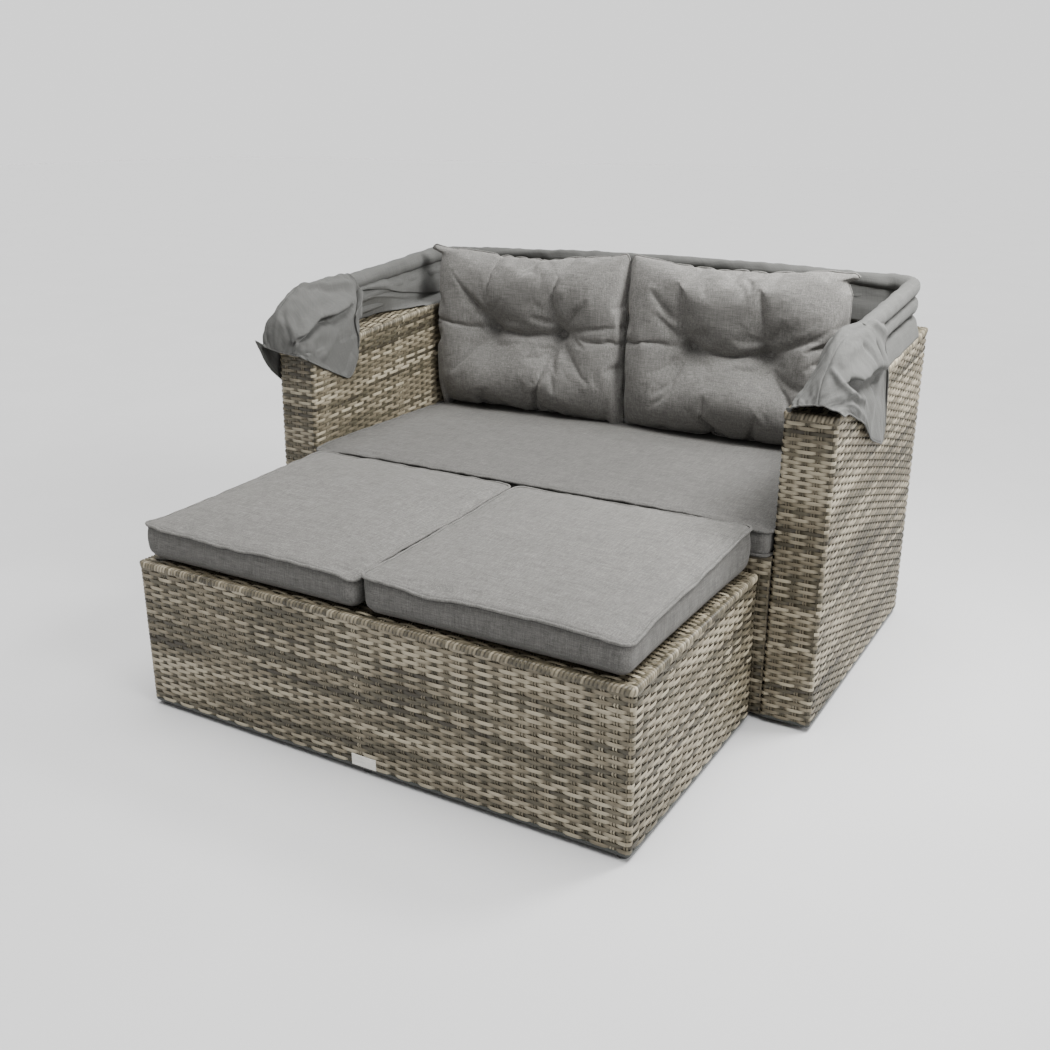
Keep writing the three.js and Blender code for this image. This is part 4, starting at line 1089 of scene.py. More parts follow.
# Creases of the two back cushions: places from -1 to 1 across and up, then depth, width, start and end
TUFT_X = 0.318
LEFT_CREASES = [
    ([(-TUFT_X, 0), (0.0, -0.03), (TUFT_X, 0)], 1.0, 0.013, 1.0, 1.0),
    ([(-TUFT_X, 0), (-0.48, 0.30), (-0.72, 0.66)], 0.62, 0.014, 1.0, 0.15),
    ([(-TUFT_X, 0), (-0.36, 0.35), (-0.33, 0.70), (-0.28, 1.0)], 0.66, 0.014, 1.0, 0.75),
    ([(-0.46, 0.78), (-0.44, 0.50)], 0.28, 0.012, 0.5, 1.0),
    ([(-TUFT_X, 0), (-0.60, 0.02), (-0.94, 0.10)], 0.45, 0.013, 1.0, 0.25),
    ([(-TUFT_X, 0), (-0.52, -0.22), (-0.66, -0.36)], 0.32, 0.013, 1.0, 0.0),
    ([(TUFT_X, 0), (0.27, 0.40), (0.34, 0.72), (0.45, 1.0)], 0.95, 0.014, 1.0, 0.8),
    ([(TUFT_X, 0), (0.48, 0.28), (0.62, 0.45)], 0.50, 0.013, 1.0, 0.0),
    ([(TUFT_X, 0), (0.62, 0.12), (0.92, 0.18)], 0.55, 0.013, 1.0, 0.45),
    ([(TUFT_X, 0), (0.66, -0.04), (0.95, -0.02)], 0.36, 0.012, 1.0, 0.4),
    ([(TUFT_X, 0), (0.24, -0.35), (0.15, -0.75), (0.10, -1.0)], 0.70, 0.013, 1.0, 0.8),
    ([(TUFT_X, 0), (0.30, -0.30), (0.33, -0.55)], 0.40, 0.011, 1.0, 0.0),
    ([(TUFT_X, 0), (0.47, -0.26), (0.62, -0.48)], 0.42, 0.012, 1.0, 0.0),
    ([(0.12, -0.72), (0.22, -0.92), (0.36, -0.99)], 0.60, 0.010, 0.4, 1.0),
    ([(0.92, 0.42), (0.72, 0.34)], 0.40, 0.012, 1.0, 0.0),
    ([(0.96, -0.30), (0.78, -0.34)], 0.32, 0.012, 1.0, 0.0),
    ([(-0.90, 0.85), (-0.70, 0.98)], 0.25, 0.012, 1.0, 0.4),
]
RIGHT_CREASES = [
    ([(-TUFT_X, 0), (0.0, -0.04), (TUFT_X, 0)], 1.0, 0.013, 1.0, 1.0),
    ([(-TUFT_X, 0), (-0.40, 0.32), (-0.40, 0.68), (-0.28, 1.0)], 0.95, 0.014, 1.0, 0.75),
    ([(-TUFT_X, 0), (-0.55, 0.28), (-0.74, 0.46)], 0.45, 0.013, 1.0, 0.0),
    ([(-0.64, 0.62), (-0.52, 0.34)], 0.30, 0.012, 0.3, 1.0),
    ([(-TUFT_X, 0), (-0.64, 0.04), (-0.95, 0.00)], 0.36, 0.012, 1.0, 0.3),
    ([(-TUFT_X, 0), (-0.45, -0.30), (-0.46, -0.72)], 0.42, 0.013, 1.0, 0.2),
    ([(TUFT_X, 0), (0.28, 0.42), (0.26, 0.70), (0.40, 1.0)], 0.66, 0.013, 1.0, 0.7),
    ([(TUFT_X, 0), (0.58, 0.16), (0.86, 0.30)], 0.45, 0.013, 1.0, 0.3),
    ([(0.97, 0.42), (0.82, 0.38), (0.70, 0.30)], 0.75, 0.011, 1.0, 0.0),
    ([(0.97, 0.22), (0.78, 0.16), (0.60, 0.06)], 0.62, 0.011, 1.0, 0.0),
    ([(0.97, 0.04), (0.80, -0.02), (0.66, -0.08)], 0.40, 0.011, 1.0, 0.0),
    ([(TUFT_X, 0), (0.42, -0.24), (0.70, -0.34)], 0.30, 0.014, 1.0, 0.0),
    ([(-0.36, -0.55), (-0.22, -0.74), (-0.02, -0.96)], 0.55, 0.011, 0.3, 1.0),
    ([(-0.16, -0.72), (-0.10, -0.97)], 0.42, 0.010, 0.3, 1.0),
    ([(0.30, -0.62), (0.24, -0.97)], 0.36, 0.011, 0.2, 1.0),
    ([(-0.70, 0.92), (-0.46, 0.99)], 0.30, 0.012, 0.4, 1.0),
]
# A back cushion: facets across and up, thickness, how much larger it is sewn than it stands, and its seam
PILLOW_FACETS = (106, 82)
PILLOW_THICK = 0.138
PILLOW_GROW = 1.08
PILLOW_CORNER = 0.030
TUFT_REACH = 0.030
TIE_REACH = 0.0075
PILLOW_SEAM = 0.0021
PILLOW_SEAM_STEP = 0.006
# Before it is filled: how thick it is in its middle and at its edge, and how much its face ripples
SEWN_SWELL = 0.036
SEWN_EDGE = 0.0025
SEWN_RIPPLE = 0.0020
# How it is filled: pressure, frames, and how stiff the cloth is
PILLOW_PRESSURE = 5.0
PILLOW_FRAMES = 26
CLOTH_STIFFNESS = 15.0
CLOTH_BENDING = 0.3
CLOTH_DAMPING = 8.0
# How far each back cushion is moved at its left and right end, and how far its corners are drawn in there
RIGHT_PILLOW_SHIFTS = (-0.014, -0.036)
RIGHT_PILLOW_EARS = (0.002, 0.026)
LEFT_PILLOW_SHIFTS = (-0.002, -0.011)
LEFT_PILLOW_EARS = (0.010, 0.002)
# Stretches along a side in which its outline is measured, the weights that smooth them, and how far a side
# may be filled out
OUTLINE_BINS = 40
OUTLINE_WEIGHTS = np.array([1, 2, 3, 2, 1]) / 9
OUTLINE_END_BINS = 5
OUTLINE_MOST = 1.14
# After it is filled: its breadth as a share of the solid's, where its corners begin as shares, how its
# thickness falls from the bottom up, and how it leans
FILLED_SHARE = 1.07
SIDE_SHARE = 0.93
EAR_SIDE_SHARE = 0.76
EAR_END_SHARE = 0.72
EAR_HEIGHT_SHARE = 0.4
BOTTOM_THICK_SHARE = 1.10
TAPER_SHARE = 0.24
PILLOW_OFF_BACK = 0.010
PILLOW_LEAN = 0.022


def inflate(made, held, pressure, frames):
    """Blow a sewn cover up like a filled cushion, with some of its vertices held, and keep the shape."""
    scene = bpy.context.scene
    group = made.vertex_groups.new(name="held")
    group.add([int(i) for i in held], 1.0, "REPLACE")
    cloth = made.modifiers.new("cloth", "CLOTH")
    settings = cloth.settings
    settings.quality = 6
    settings.mass = 0.3
    settings.air_damping = 4.0
    settings.tension_stiffness = CLOTH_STIFFNESS
    settings.compression_stiffness = CLOTH_STIFFNESS
    settings.shear_stiffness = CLOTH_STIFFNESS / 3
    settings.bending_stiffness = CLOTH_BENDING
    settings.tension_damping = CLOTH_DAMPING
    settings.compression_damping = CLOTH_DAMPING
    settings.shear_damping = 5.0
    settings.use_pressure = True
    settings.uniform_pressure_force = pressure
    settings.vertex_group_mass = "held"
    settings.effector_weights.gravity = 0.0
    cloth.collision_settings.use_collision = False
    cloth.point_cache.frame_start = 1
    cloth.point_cache.frame_end = frames + 1
    for frame_number in range(1, frames + 1):
        scene.frame_set(frame_number)
    graph = bpy.context.evaluated_depsgraph_get()
    blown = bpy.data.meshes.new_from_object(made.evaluated_get(graph))
    made.modifiers.remove(cloth)
    made.vertex_groups.clear()
    made.data = blown
    scene.frame_set(1)


def square_up(points, axis, across, low, high, keep_low, keep_high):
    """Fill the pillow's outline out toward straight sides, as the neighbouring pieces press it."""
    last = OUTLINE_BINS - 1
    shares = (points[:, across] - points[:, across].min()) / np.ptp(points[:, across]) * last
    shares = np.clip(shares, 0, last)
    bins = shares.astype(int)
    middle = (low + high) / 2
    for side, target, keep in ((-1, low, keep_low), (1, high, keep_high)):
        extreme = np.array([(side * points[bins == i, axis]).max() for i in range(OUTLINE_BINS)])
        padded = np.concatenate([extreme[:1]] * 2 + [extreme] + [extreme[-1:]] * 2)
        extreme = np.convolve(padded, OUTLINE_WEIGHTS, "valid")
        reach = np.interp(shares, np.arange(OUTLINE_BINS) + 0.5, extreme) - side * middle
        from_end = np.abs(shares - last / 2) - (last / 2 - OUTLINE_END_BINS)
        ends = 1 - 0.8 * np.clip(from_end / OUTLINE_END_BINS, 0, 1)
        grow = np.clip(1 + keep * ends * ((target - middle) * side - reach) / reach, 1.0, OUTLINE_MOST)
        off = side * (points[:, axis] - middle)
        share = np.clip(off / reach, 0, 1) ** 2
        points[:, axis] = np.where(off > 0, middle + side * off * (1 + (grow - 1) * share), points[:, axis])
    return points


def mark_edge(u, v):
    """Number the vertices along a panel's border, so that the seam can be found after the cover is filled."""
    around_it = np.full(u.shape, -1.0)
    around_it[0, :] = (u[0, :] + 1) / 2
    around_it[:, -1] = 1 + (v[:, -1] + 1) / 2
    around_it[-1, :] = 2 + (1 - u[-1, :]) / 2
    around_it[:, 0] = np.where(v[:, 0] > -0.9999, 3 + (1 - v[:, 0]) / 2, 0.0)
    return around_it


def seam_loop(made):
    """The seam's points in order, found by the numbers along the border."""
    values = np.empty(len(made.data.vertices), dtype=np.float32)
    made.data.attributes["tone"].data.foreach_get("value", values)
    on_edge = np.where(values > -0.5)[0]
    return positions(made)[on_edge[np.argsort(values[on_edge])]]


def sewn_pillow(name, width, height, creases, seed):
    """The two flat panels of a back cushion, joined at the edge and creased, before it is filled."""
    u, v = np.meshgrid(np.linspace(-1, 1, PILLOW_FACETS[0]), np.linspace(-1, 1, PILLOW_FACETS[1]))
    x, z = corner_round(u, v, width * PILLOW_GROW / 2, height * PILLOW_GROW / 2, PILLOW_CORNER)
    full = np.clip((1 - u**4) * (1 - v**4), 0, 1) ** 0.5
    flat = np.stack([x / PILLOW_GROW, z / PILLOW_GROW], axis=-1)
    unit = np.array([width / 2, height / 2])
    dip = np.zeros_like(u)
    for path, depth, breadth, start, end in creases:
        dip = dip + crease(flat, np.array(path) * unit, depth * sizes().crease_depth, breadth, start, end)
    spot = [np.hypot(flat[..., 0] - sign * TUFT_X * width / 2, flat[..., 1]) for sign in (-1, 1)]
    tuft = bell(np.minimum(*spot), TUFT_REACH)
    place = np.stack([x, np.zeros_like(x), z], axis=-1)
    half = SEWN_SWELL * full * (1 - tuft) + SEWN_EDGE * full
    ripple = SEWN_RIPPLE * waves(place, 0.06, seed) * full
    front_y = -half + dip * full * (1 - 0.6 * tuft) * 0.8 + ripple
    front = np.stack([x, front_y, z], axis=-1)
    rear = np.stack([x, half, z], axis=-1)
    flat_uv = place[..., [0, 2]]
    mark = mark_edge(u, v)
    # Both panels take the back cushions' cloth, painted brighter as light
    face = dress(grid_object(name, front, flat_uv, mark), "pillow")
    behind = dress(grid_object(name + "_rear", rear[:, ::-1], flat_uv[:, ::-1], mark[:, ::-1]), "pillow")
    made = join(face, behind)
    merge(made, SEAM_WELD)
    return made


def back_cushion(name, low, high, creases, seed, ears):
    """A tufted pillow: two flat panels joined at an edge seam, drawn together at two tufts and filled.

    Its left and right corners are drawn in by the two lengths in ears.
    """
    width, height = high[0] - low[0], high[2] - low[2]
    made = sewn_pillow(name, width, height, creases, seed)
    start = positions(made)
    tied = [np.hypot(start[:, 0] - sign * TUFT_X * width / 2 * PILLOW_GROW, start[:, 2]) for sign in (-1, 1)]
    inflate(made, np.where(np.minimum(*tied) < TIE_REACH)[0], PILLOW_PRESSURE, PILLOW_FRAMES)
    points = positions(made)
    lowest, highest = points.min(axis=0), points.max(axis=0)
    breadth, tall = highest[0] - lowest[0], highest[2] - lowest[2]
    points[:, 0] = (points[:, 0] - (lowest[0] + highest[0]) / 2) * width * FILLED_SHARE / breadth
    over = np.clip(np.abs(points[:, 0]) / (width / 2) - SIDE_SHARE, 0, None)
    points[:, 0] -= np.sign(points[:, 0]) * over * 0.5 * width / 2
    points = square_up(points, 0, 2, -width / 2, width / 2, 0.75, 0.75)
    points = square_up(points, 2, 0, lowest[2], highest[2], 0.95, 0.15)
    near_side = (np.abs(points[:, 0]) / (width / 2) - EAR_SIDE_SHARE) / (1 - EAR_SIDE_SHARE)
    near_end = (np.abs(2 * points[:, 2] / tall) - EAR_END_SHARE) / (1 - EAR_END_SHARE)
    near_side, near_end = np.clip(near_side, 0, 1.2), np.clip(near_end, 0, 1)
    points[:, 0] -= np.where(points[:, 0] < 0, -ears[0], ears[1]) * near_side * near_end
    drawn = np.where(points[:, 0] < 0, *ears) * EAR_HEIGHT_SHARE
    points[:, 2] -= np.sign(points[:, 2]) * drawn * near_side * near_end
    share = (points[:, 2] - lowest[2]) / tall
    points[:, 1] *= PILLOW_THICK / (highest[1] - lowest[1]) * (BOTTOM_THICK_SHARE - TAPER_SHARE * share)
    lean = PILLOW_OFF_BACK + PILLOW_LEAN * (1 - share)
    points[:, 1] = np.minimum(points[:, 1] + high[1] - PILLOW_THICK / 2 - lean + PILLOW_OFF_BACK, high[1])
    points[:, 0] += (low[0] + high[0]) / 2
    points[:, 2] = low[2] + share * height
    place_all(made, points)
    loop = seam_loop(made)
    skin = made.modifiers.new("smooth", "SUBSURF")
    skin.levels = 1
    skin.render_levels = 1
    bake(made)
    return join(made, dress(tube(name + "_seam", thin(loop, PILLOW_SEAM_STEP), PILLOW_SEAM, 6), "pillow"))


class DAYBED_OT_back_cushions(bpy.types.Operator):
    """Sew the two tufted back cushions"""

    bl_idname = "daybed.back_cushions"
    bl_label = "Sew back cushions"

    def execute(self, context):
        plans = (
            ("right", RIGHT_CREASES, 91, RIGHT_PILLOW_SHIFTS, RIGHT_PILLOW_EARS),
            ("left", LEFT_CREASES, 97, LEFT_PILLOW_SHIFTS, LEFT_PILLOW_EARS),
        )
        for side, creases, seed, shifts, ears in plans:
            node = f"{side}_back_cushion"
            low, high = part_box(node)
            low, high = (low[0] + shifts[0], low[1], low[2]), (high[0] + shifts[1], high[1], high[2])
            made = back_cushion(f"{node}_cover", low, high, creases, seed, ears)
            stand_for(made, node, node)
        return {"FINISHED"}


# Canopy

# Where the sleeves and the slack folds start, behind the sofa's front, and the steps along a bow's path
SLEEVE_START = 0.228
FOLD_START = 0.300
BOW_STEP = 0.011
BOW_CORNER_STEPS = 10
# Below this height over the arm's top the cloth doesn't follow the bow's crown in full
CROWN_REACH = 0.05
# A sleeve: its radius, wrinkles and slack underneath, and how it widens at the arms
SLEEVE_ROWS = 25
SLEEVE_RADIUS = 0.0152
SLEEVE_LEAST_RADIUS = 0.0128
SLEEVE_WRINKLE = 0.0016
SLEEVE_HANG = 0.0085
SLEEVE_WIDENING = 0.0042
SLEEVE_START_ANGLE = 130
SLEEVE_TUCK_SHARE = 0.05
# Wrinkles of a sleeve, short and long: how many, their lengths, turns round the sleeve and strengths
WRINKLES = (
    (14, (0.035, 0.12), (-2, 3), (0.4, 1.0)),
    (8, (0.25, 0.7), (1, 4), (0.8, 1.6)),
)
WRINKLE_SUM = 4.5
# Section of the rear band, outwards from the bow's path and up from the arm's top
BAND_SECTION = (
    (-0.0120, 0.026), (-0.0135, 0.040), (-0.006, 0.0505), (0.005, 0.0515), (0.014, 0.047),
    (0.0195, 0.036), (0.0235, 0.020), (0.0262, 0.006), (0.0268, 0.0012),
)
BAND_FACETS = 22
# The upper fold: how high its lower bend hangs, by the distance behind the sofa's front
UPPER_HANG = (
    (0.300, 0.100), (0.337, 0.096), (0.425, 0.074), (0.497, 0.051), (0.597, 0.026), (0.687, 0.010),
    (0.747, 0.016),
)
UPPER_ROWS = (22, 14)
UPPER_TOP = 0.108
UPPER_TUCK = 0.078
# The lower fold: distance behind the sofa's front, height where it leaves the bow, then where its hem lies,
# outwards and up
LOWER_HANG = (
    (0.300, 0.074, 0.004, 0.006), (0.331, 0.074, 0.004, 0.005), (0.408, 0.056, 0.000, 0.004),
    (0.450, 0.046, -0.012, 0.004), (0.495, 0.034, -0.042, 0.004), (0.545, 0.024, -0.074, 0.003),
    (0.600, 0.018, -0.089, -0.018), (0.660, 0.014, -0.0895, -0.036), (0.683, 0.014, -0.089, -0.040),
    (0.6925, 0.014, -0.060, 0.006), (0.700, 0.014, -0.034, 0.006), (0.747, 0.018, -0.030, 0.006),
)
LOWER_ROWS = (18, 22)
LOWER_TOP = 0.070
# Where the lower fold's front falls, outwards, and how high it lies on the arm
LOWER_NEAR = -0.0200
LOWER_TURN = -0.022
LOWER_GAP = 0.004
LOWER_LIES = 0.0045


def bow_path(start):
    """A bow's plan from its left end round the back to its right end: places and ways out."""
    bar, leg = BOW_X - BOW_CORNER, BOW_Y - BOW_CORNER
    right = [(BOW_X, y, 1.0, 0.0) for y in np.arange(FRONT + start, leg, BOW_STEP)]
    for i in range(BOW_CORNER_STEPS + 1):
        angle = math.pi / 2 * i / BOW_CORNER_STEPS
        out = (math.cos(angle), math.sin(angle))
        right.append((bar + BOW_CORNER * out[0], leg + BOW_CORNER * out[1], *out))
    right += [(x, BOW_Y, 0.0, 1.0) for x in np.arange(bar - BOW_STEP, BOW_STEP / 2, -BOW_STEP)]
    right = np.array(right)
    left = right * (-1, 1, -1, 1)
    path = np.vstack([left, right[::-1]])
    return path[:, :2], path[:, 2:]


def bow_height(places, rise):
    """Height of a bow that lies that far above the arms, with the crown of its crossbar."""
    share = np.minimum(1, np.abs(places[:, 0]) / (BOW_X - BOW_CORNER))
    crown = np.where(places[:, 1] > BOW_Y - BOW_CORNER, BOW_CROWN * (1 - share**2), 0.0)
    return arm_top(places[:, 1]) + rise + crown


def cloth_object(name, points):
    """A sheet of cloth through points[row, column], with its thickness, and its flat size and area."""
    rows, columns = points.shape[:2]
    down = np.cumsum(np.linalg.norm(np.diff(points, axis=0), axis=-1), axis=0)
    down = np.concatenate([np.zeros((1, columns)), down])
    along = np.cumsum(np.linalg.norm(np.diff(points, axis=1), axis=-1), axis=1)
    along = np.concatenate([np.zeros((rows, 1)), along], axis=1)
    made = dress(grid_object(name, points, np.stack([along, down], axis=-1)), "canopy")
    flat = (round(float(np.median(along[:, -1])), 3), round(float(np.median(down[-1])), 3))
    skin = made.modifiers.new("cloth", "SOLIDIFY")
    skin.thickness = sizes().cloth_thickness
    skin.offset = 0.0
    return made, flat, sum(face.area for face in made.data.polygons)


def swept(places, outs, heights, section):
    """Points of a section carried along a bow's path: out and up, by row, or by row and column."""
    section = np.asarray(section, float)
    if section.ndim == 2:
        section = np.broadcast_to(section[:, None], (len(section), len(places), 2))
    x = places[None, :, 0] + outs[None, :, 0] * section[..., 0]
    y = places[None, :, 1] + outs[None, :, 1] * section[..., 0]
    z = heights[None, :] + section[..., 1]
    return np.stack([x, y, z], axis=-1)


def soften(points):
    """Round a line of points off, all but its ends."""
    points[1:-1] = (points[:-2] + 2 * points[1:-1] + points[2:]) / 4


def smooth_section(corners, count):
    """A smooth open curve through a section's corners."""
    corners = np.array(corners, float)
    for _ in range(2):
        at = np.linspace(0, 1, len(corners))
        finer = np.linspace(0, 1, len(corners) * 2 - 1)
        corners = np.stack([np.interp(finer, at, corners[:, axis]) for axis in range(2)], axis=-1)
        soften(corners)
    lengths = arc_lengths(corners)
    at = np.linspace(0, lengths[-1], count)
    return np.stack([np.interp(at, lengths, corners[:, axis]) for axis in range(2)], axis=-1)


def gathers(lengths, angles, amount, seed):
    """Wrinkles of a sleeve: short ones round the tube and long ones that wander along it."""
    rng = np.random.default_rng(seed)
    total = np.zeros((len(angles), len(lengths)))
    for count, pitches, turns, strengths in WRINKLES:
        for _ in range(count):
            along = 2 * math.pi * lengths[None, :] / rng.uniform(*pitches)
            turn = rng.integers(*turns)
            strength = rng.uniform(*strengths)
            total += strength * np.sin(along + turn * angles[:, None] + rng.uniform(0, WAVE_START))
    return amount * total / WRINKLE_SUM


def sleeve(name, node, body, rise, seed):
    """A sleeve round one bow, with the seam that closes it low on its inner side."""
    places, outs = bow_path(SLEEVE_START)
    angles = np.linspace(0, 2 * math.pi, SLEEVE_ROWS)
    angle = (angles - math.radians(SLEEVE_START_ANGLE))[:, None]
    radius = SLEEVE_RADIUS + gathers(arc_lengths(places), angles, SLEEVE_WRINKLE, seed)
    slack = 0.35 + 0.65 * np.clip((np.abs(places[:, 0]) - 0.45) / 0.2, 0, 1)
    hang = np.clip(np.cos(angles), 0, 1)[:, None] ** 3
    wide = np.clip((np.abs(places[:, 0]) - 0.62) / 0.09, 0, 1)
    radius = np.maximum(radius, SLEEVE_LEAST_RADIUS) + SLEEVE_HANG * hang * slack + SLEEVE_WIDENING * wide
    section = np.stack([radius * np.cos(angle), radius * np.sin(angle)], axis=-1)
    tuck = bell(angles - 0.35, 0.16) + bell(angles - 2 * math.pi + 0.25, 0.2)
    section *= (1 - SLEEVE_TUCK_SHARE * tuck)[:, None, None]
    points = swept(places, outs, bow_height(places, rise), section[::-1])
    made, flat, area = cloth_object(name, points)
    stand_for(made, node, body)


def leg_values(places, table):
    """Values by a bow path's distance from the front, with the last one for the corner and the crossbar."""
    stations, *columns = zip(*table)
    y = places[:, 1] - FRONT
    return [np.interp(y, stations, column) for column in columns]


class DAYBED_OT_canopy(bpy.types.Operator):
    """Sew the folded canopy: its rear band, two sleeves and two slack folds"""

    bl_idname = "daybed.canopy"
    bl_label = "Sew canopy"

    def execute(self, context):
        self.band()
        sleeve("front_sleeve_cloth", "canopy_front_sleeve", "front_bow", FRONT_RISE, 103)
        sleeve("middle_sleeve_cloth", "canopy_middle_sleeve", "middle_bow", MIDDLE_RISE, 107)
        self.upper_fold()
        self.lower_fold()
        return {"FINISHED"}

    def band(self):
        """The cloth that hangs from the fixed rear bow."""
        places, outs = bow_path(SLEEVE_START)
        base = arm_top(places[:, 1])
        section = smooth_section(BAND_SECTION, BAND_FACETS)
        points = swept(places, outs, base, section)
        lift = bow_height(places, 0.0) - base
        points[..., 2] += lift * np.clip(section[:, 1] / CROWN_REACH, 0, 1)[:, None]
        soft = 0.0020 * waves(points, 0.12, 113) + 0.0011 * waves(points, 0.045, 114)
        points[..., :2] += outs * (soft * np.linspace(0.4, 1, BAND_FACETS)[:, None])[..., None]
        made, flat, area = cloth_object("rear_band_cloth", points[::-1])
        stand_for(made, "canopy_rear_band", "sofa")

    def upper_fold(self):
        """The slack cloth between the front and the middle bow: down on the inside, then up again."""
        places, outs = bow_path(FOLD_START)
        (hang,) = leg_values(places, UPPER_HANG)
        rows_down, rows_up = UPPER_ROWS
        down = np.linspace(0, 1, rows_down)[:, None]
        up = np.linspace(0, 1, rows_up + 1)[1:, None]
        out_down = -0.0135 - 0.0125 * np.sin(np.clip(down * 1.15, 0, 1) * math.pi / 2) ** 1.3
        z_down = UPPER_TOP + (hang - UPPER_TOP) * down
        turn = np.maximum(np.minimum(UPPER_TUCK, hang + 0.03), hang)
        z_up = hang + (turn - hang) * up
        out_up = -0.026 + 0.0095 * np.minimum(1, up * 3)
        section = np.concatenate([
            flat_places(out_down, z_down, z_down.shape),
            flat_places(out_up, z_up, z_up.shape),
        ])
        points = swept(places, outs, bow_height(places, 0.0), section)
        bulge = np.concatenate([np.sin(math.pi * down[:, 0]), np.zeros(rows_up)])
        ripple = 0.0045 * waves(points * (1, 1, 0.45), 0.20, 121)
        ripple += 0.0024 * waves(points * (1, 1, 1.6), 0.08, 122)
        points[..., :2] -= outs * (ripple * bulge[:, None])[..., None]
        bend = bell(np.arange(len(points)) - rows_down + 1, 3.0)
        points[..., 2] += (0.0035 * waves(points, 0.16, 123)) * bend[:, None]
        made, flat, area = cloth_object("upper_fold_cloth", points)
        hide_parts("canopy_upper_fold")
        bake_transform(made)

    def lower_fold(self):
        """The slack cloth from the middle bow down onto the arms, and over their inner edges at the back."""
        places, outs = bow_path(FOLD_START)
        hang, hem_out, hem_up = leg_values(places, LOWER_HANG)
        rows_a, rows_b = LOWER_ROWS
        a = np.linspace(0, 1, rows_a)[:, None]
        b = np.linspace(0, 1, rows_b + 1)[1:, None]
        knee = np.minimum(hang, LOWER_TOP - LOWER_GAP)
        z_a = LOWER_TOP + (knee - LOWER_TOP) * a
        out_a = -0.0150 - 0.0085 * np.sin(a * math.pi / 2)
        lies = np.maximum(0, -hem_out + LOWER_TURN)
        drop = knee + np.maximum(0, -hem_up) - LOWER_GAP
        total = np.maximum(drop + lies, 1e-6)
        first = np.clip(knee - LOWER_GAP, 0.002, None) / total
        second = (knee - LOWER_GAP + lies) / total
        fall = np.clip(b / first, 0, 1)
        glide = np.clip((b - first) / np.maximum(second - first, 1e-6), 0, 1)
        over = np.clip((b - second) / np.maximum(1 - second, 1e-6), 0, 1)
        out_front = LOWER_NEAR + (np.maximum(hem_out, LOWER_TURN) - LOWER_NEAR) * fall
        out_glide = out_front + (np.minimum(hem_out, out_front) - out_front) * glide
        out_b = np.where(glide > 0, out_glide, out_front)
        z_b = knee + (LOWER_LIES - knee) * fall
        z_b = z_b + np.where(over > 0, (np.minimum(hem_up, LOWER_LIES) - LOWER_LIES) * over, 0)
        section = np.concatenate([flat_places(out_a, z_a, z_a.shape), flat_places(out_b, z_b, z_b.shape)])
        for _ in range(2):
            soften(section)
        base = arm_top(places[:, 1])
        points = swept(places, outs, base, section)
        lift = bow_height(places, 0.0) - base
        points[..., 2] += lift * np.clip(section[..., 1] / CROWN_REACH, 0, 1)
        soft = 0.0022 * waves(points, 0.11, 131) + 0.0010 * waves(points, 0.05, 132)
        points[..., :2] -= outs * (soft * np.linspace(0.1, 1, len(points))[:, None])[..., None]
        points[..., 2] += np.abs(0.0025 * waves(points, 0.09, 133)) * np.linspace(0, 1, len(points))[:, None]
        made, flat, area = cloth_object("lower_fold_cloth", points)
        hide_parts("canopy_lower_fold")
        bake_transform(made)


# Side cloths

# The slack side cloths over the arms, in millimetres: outwards, back from the sofa's front and up from the
# arm's top. Each row crosses a cloth from its inner hem over its ridge to its outer hem, and the rows go from
# its back edge to its front hem.
LEFT_CLOTH = (
    ((630, 200, 55), (652, 258, 96), (700, 262, 148), (745, 280, 112), (762, 380, 6)),
    ((628, 202, -10), (647, 228, 80), (705, 245, 150), (749, 262, 106), (762, 385, -90)),
    ((628, 192, -62), (645, 195, 74), (706, 205, 148), (752, 215, 106), (762, 340, -140)),
    ((628, 158, -101), (645, 150, 71), (706, 150, 149), (753, 150, 106), (762, 250, -165)),
    ((628, 118, -84), (645, 105, 68), (707, 98, 150), (754, 97, 104), (762, 160, -165)),
    ((628, 67, -56), (646, 60, 62), (709, 52, 142), (755, 45, 94), (762, 95, -140)),
    ((629, 23, -30), (648, 15, 52), (711, 10, 118), (757, 4, 72), (762, 38, -92)),
    ((640, -6, -12), (658, -12, 34), (713, -20, 80), (759, -26, 52), (763, -15, -36)),
    ((652, -16, -4), (684, -20, -1), (715, -26, 5), (742, -34, 14), (766, -50, 34)),
)
RIGHT_CLOTH = (
    ((694, 325, 96), (700, 335, 120), (716, 345, 132), (742, 356, 110), (760, 352, 2)),
    ((676, 278, 62), (684, 292, 108), (712, 292, 133), (748, 312, 106), (763, 374, -120)),
    ((655, 236, 26), (672, 240, 100), (708, 238, 140), (751, 262, 104), (763, 352, -155)),
    ((642, 195, 12), (665, 190, 95), (705, 182, 144), (752, 210, 102), (763, 303, -141)),
    ((640, 153, 8), (666, 145, 66), (706, 127, 140), (753, 160, 98), (763, 223, -100)),
    ((641, 90, 6), (666, 90, 46), (707, 77, 126), (754, 105, 88), (763, 177, -60)),
    ((643, 40, 6), (667, 45, 40), (709, 36, 96), (755, 55, 72), (763, 112, -28)),
    ((647, 5, 8), (668, 8, 34), (711, 2, 64), (756, 10, 50), (765, 45, 4)),
    ((652, -18, 16), (678, -20, 27), (709, -22, 33), (739, -24, 32), (770, -18, 20)),
)
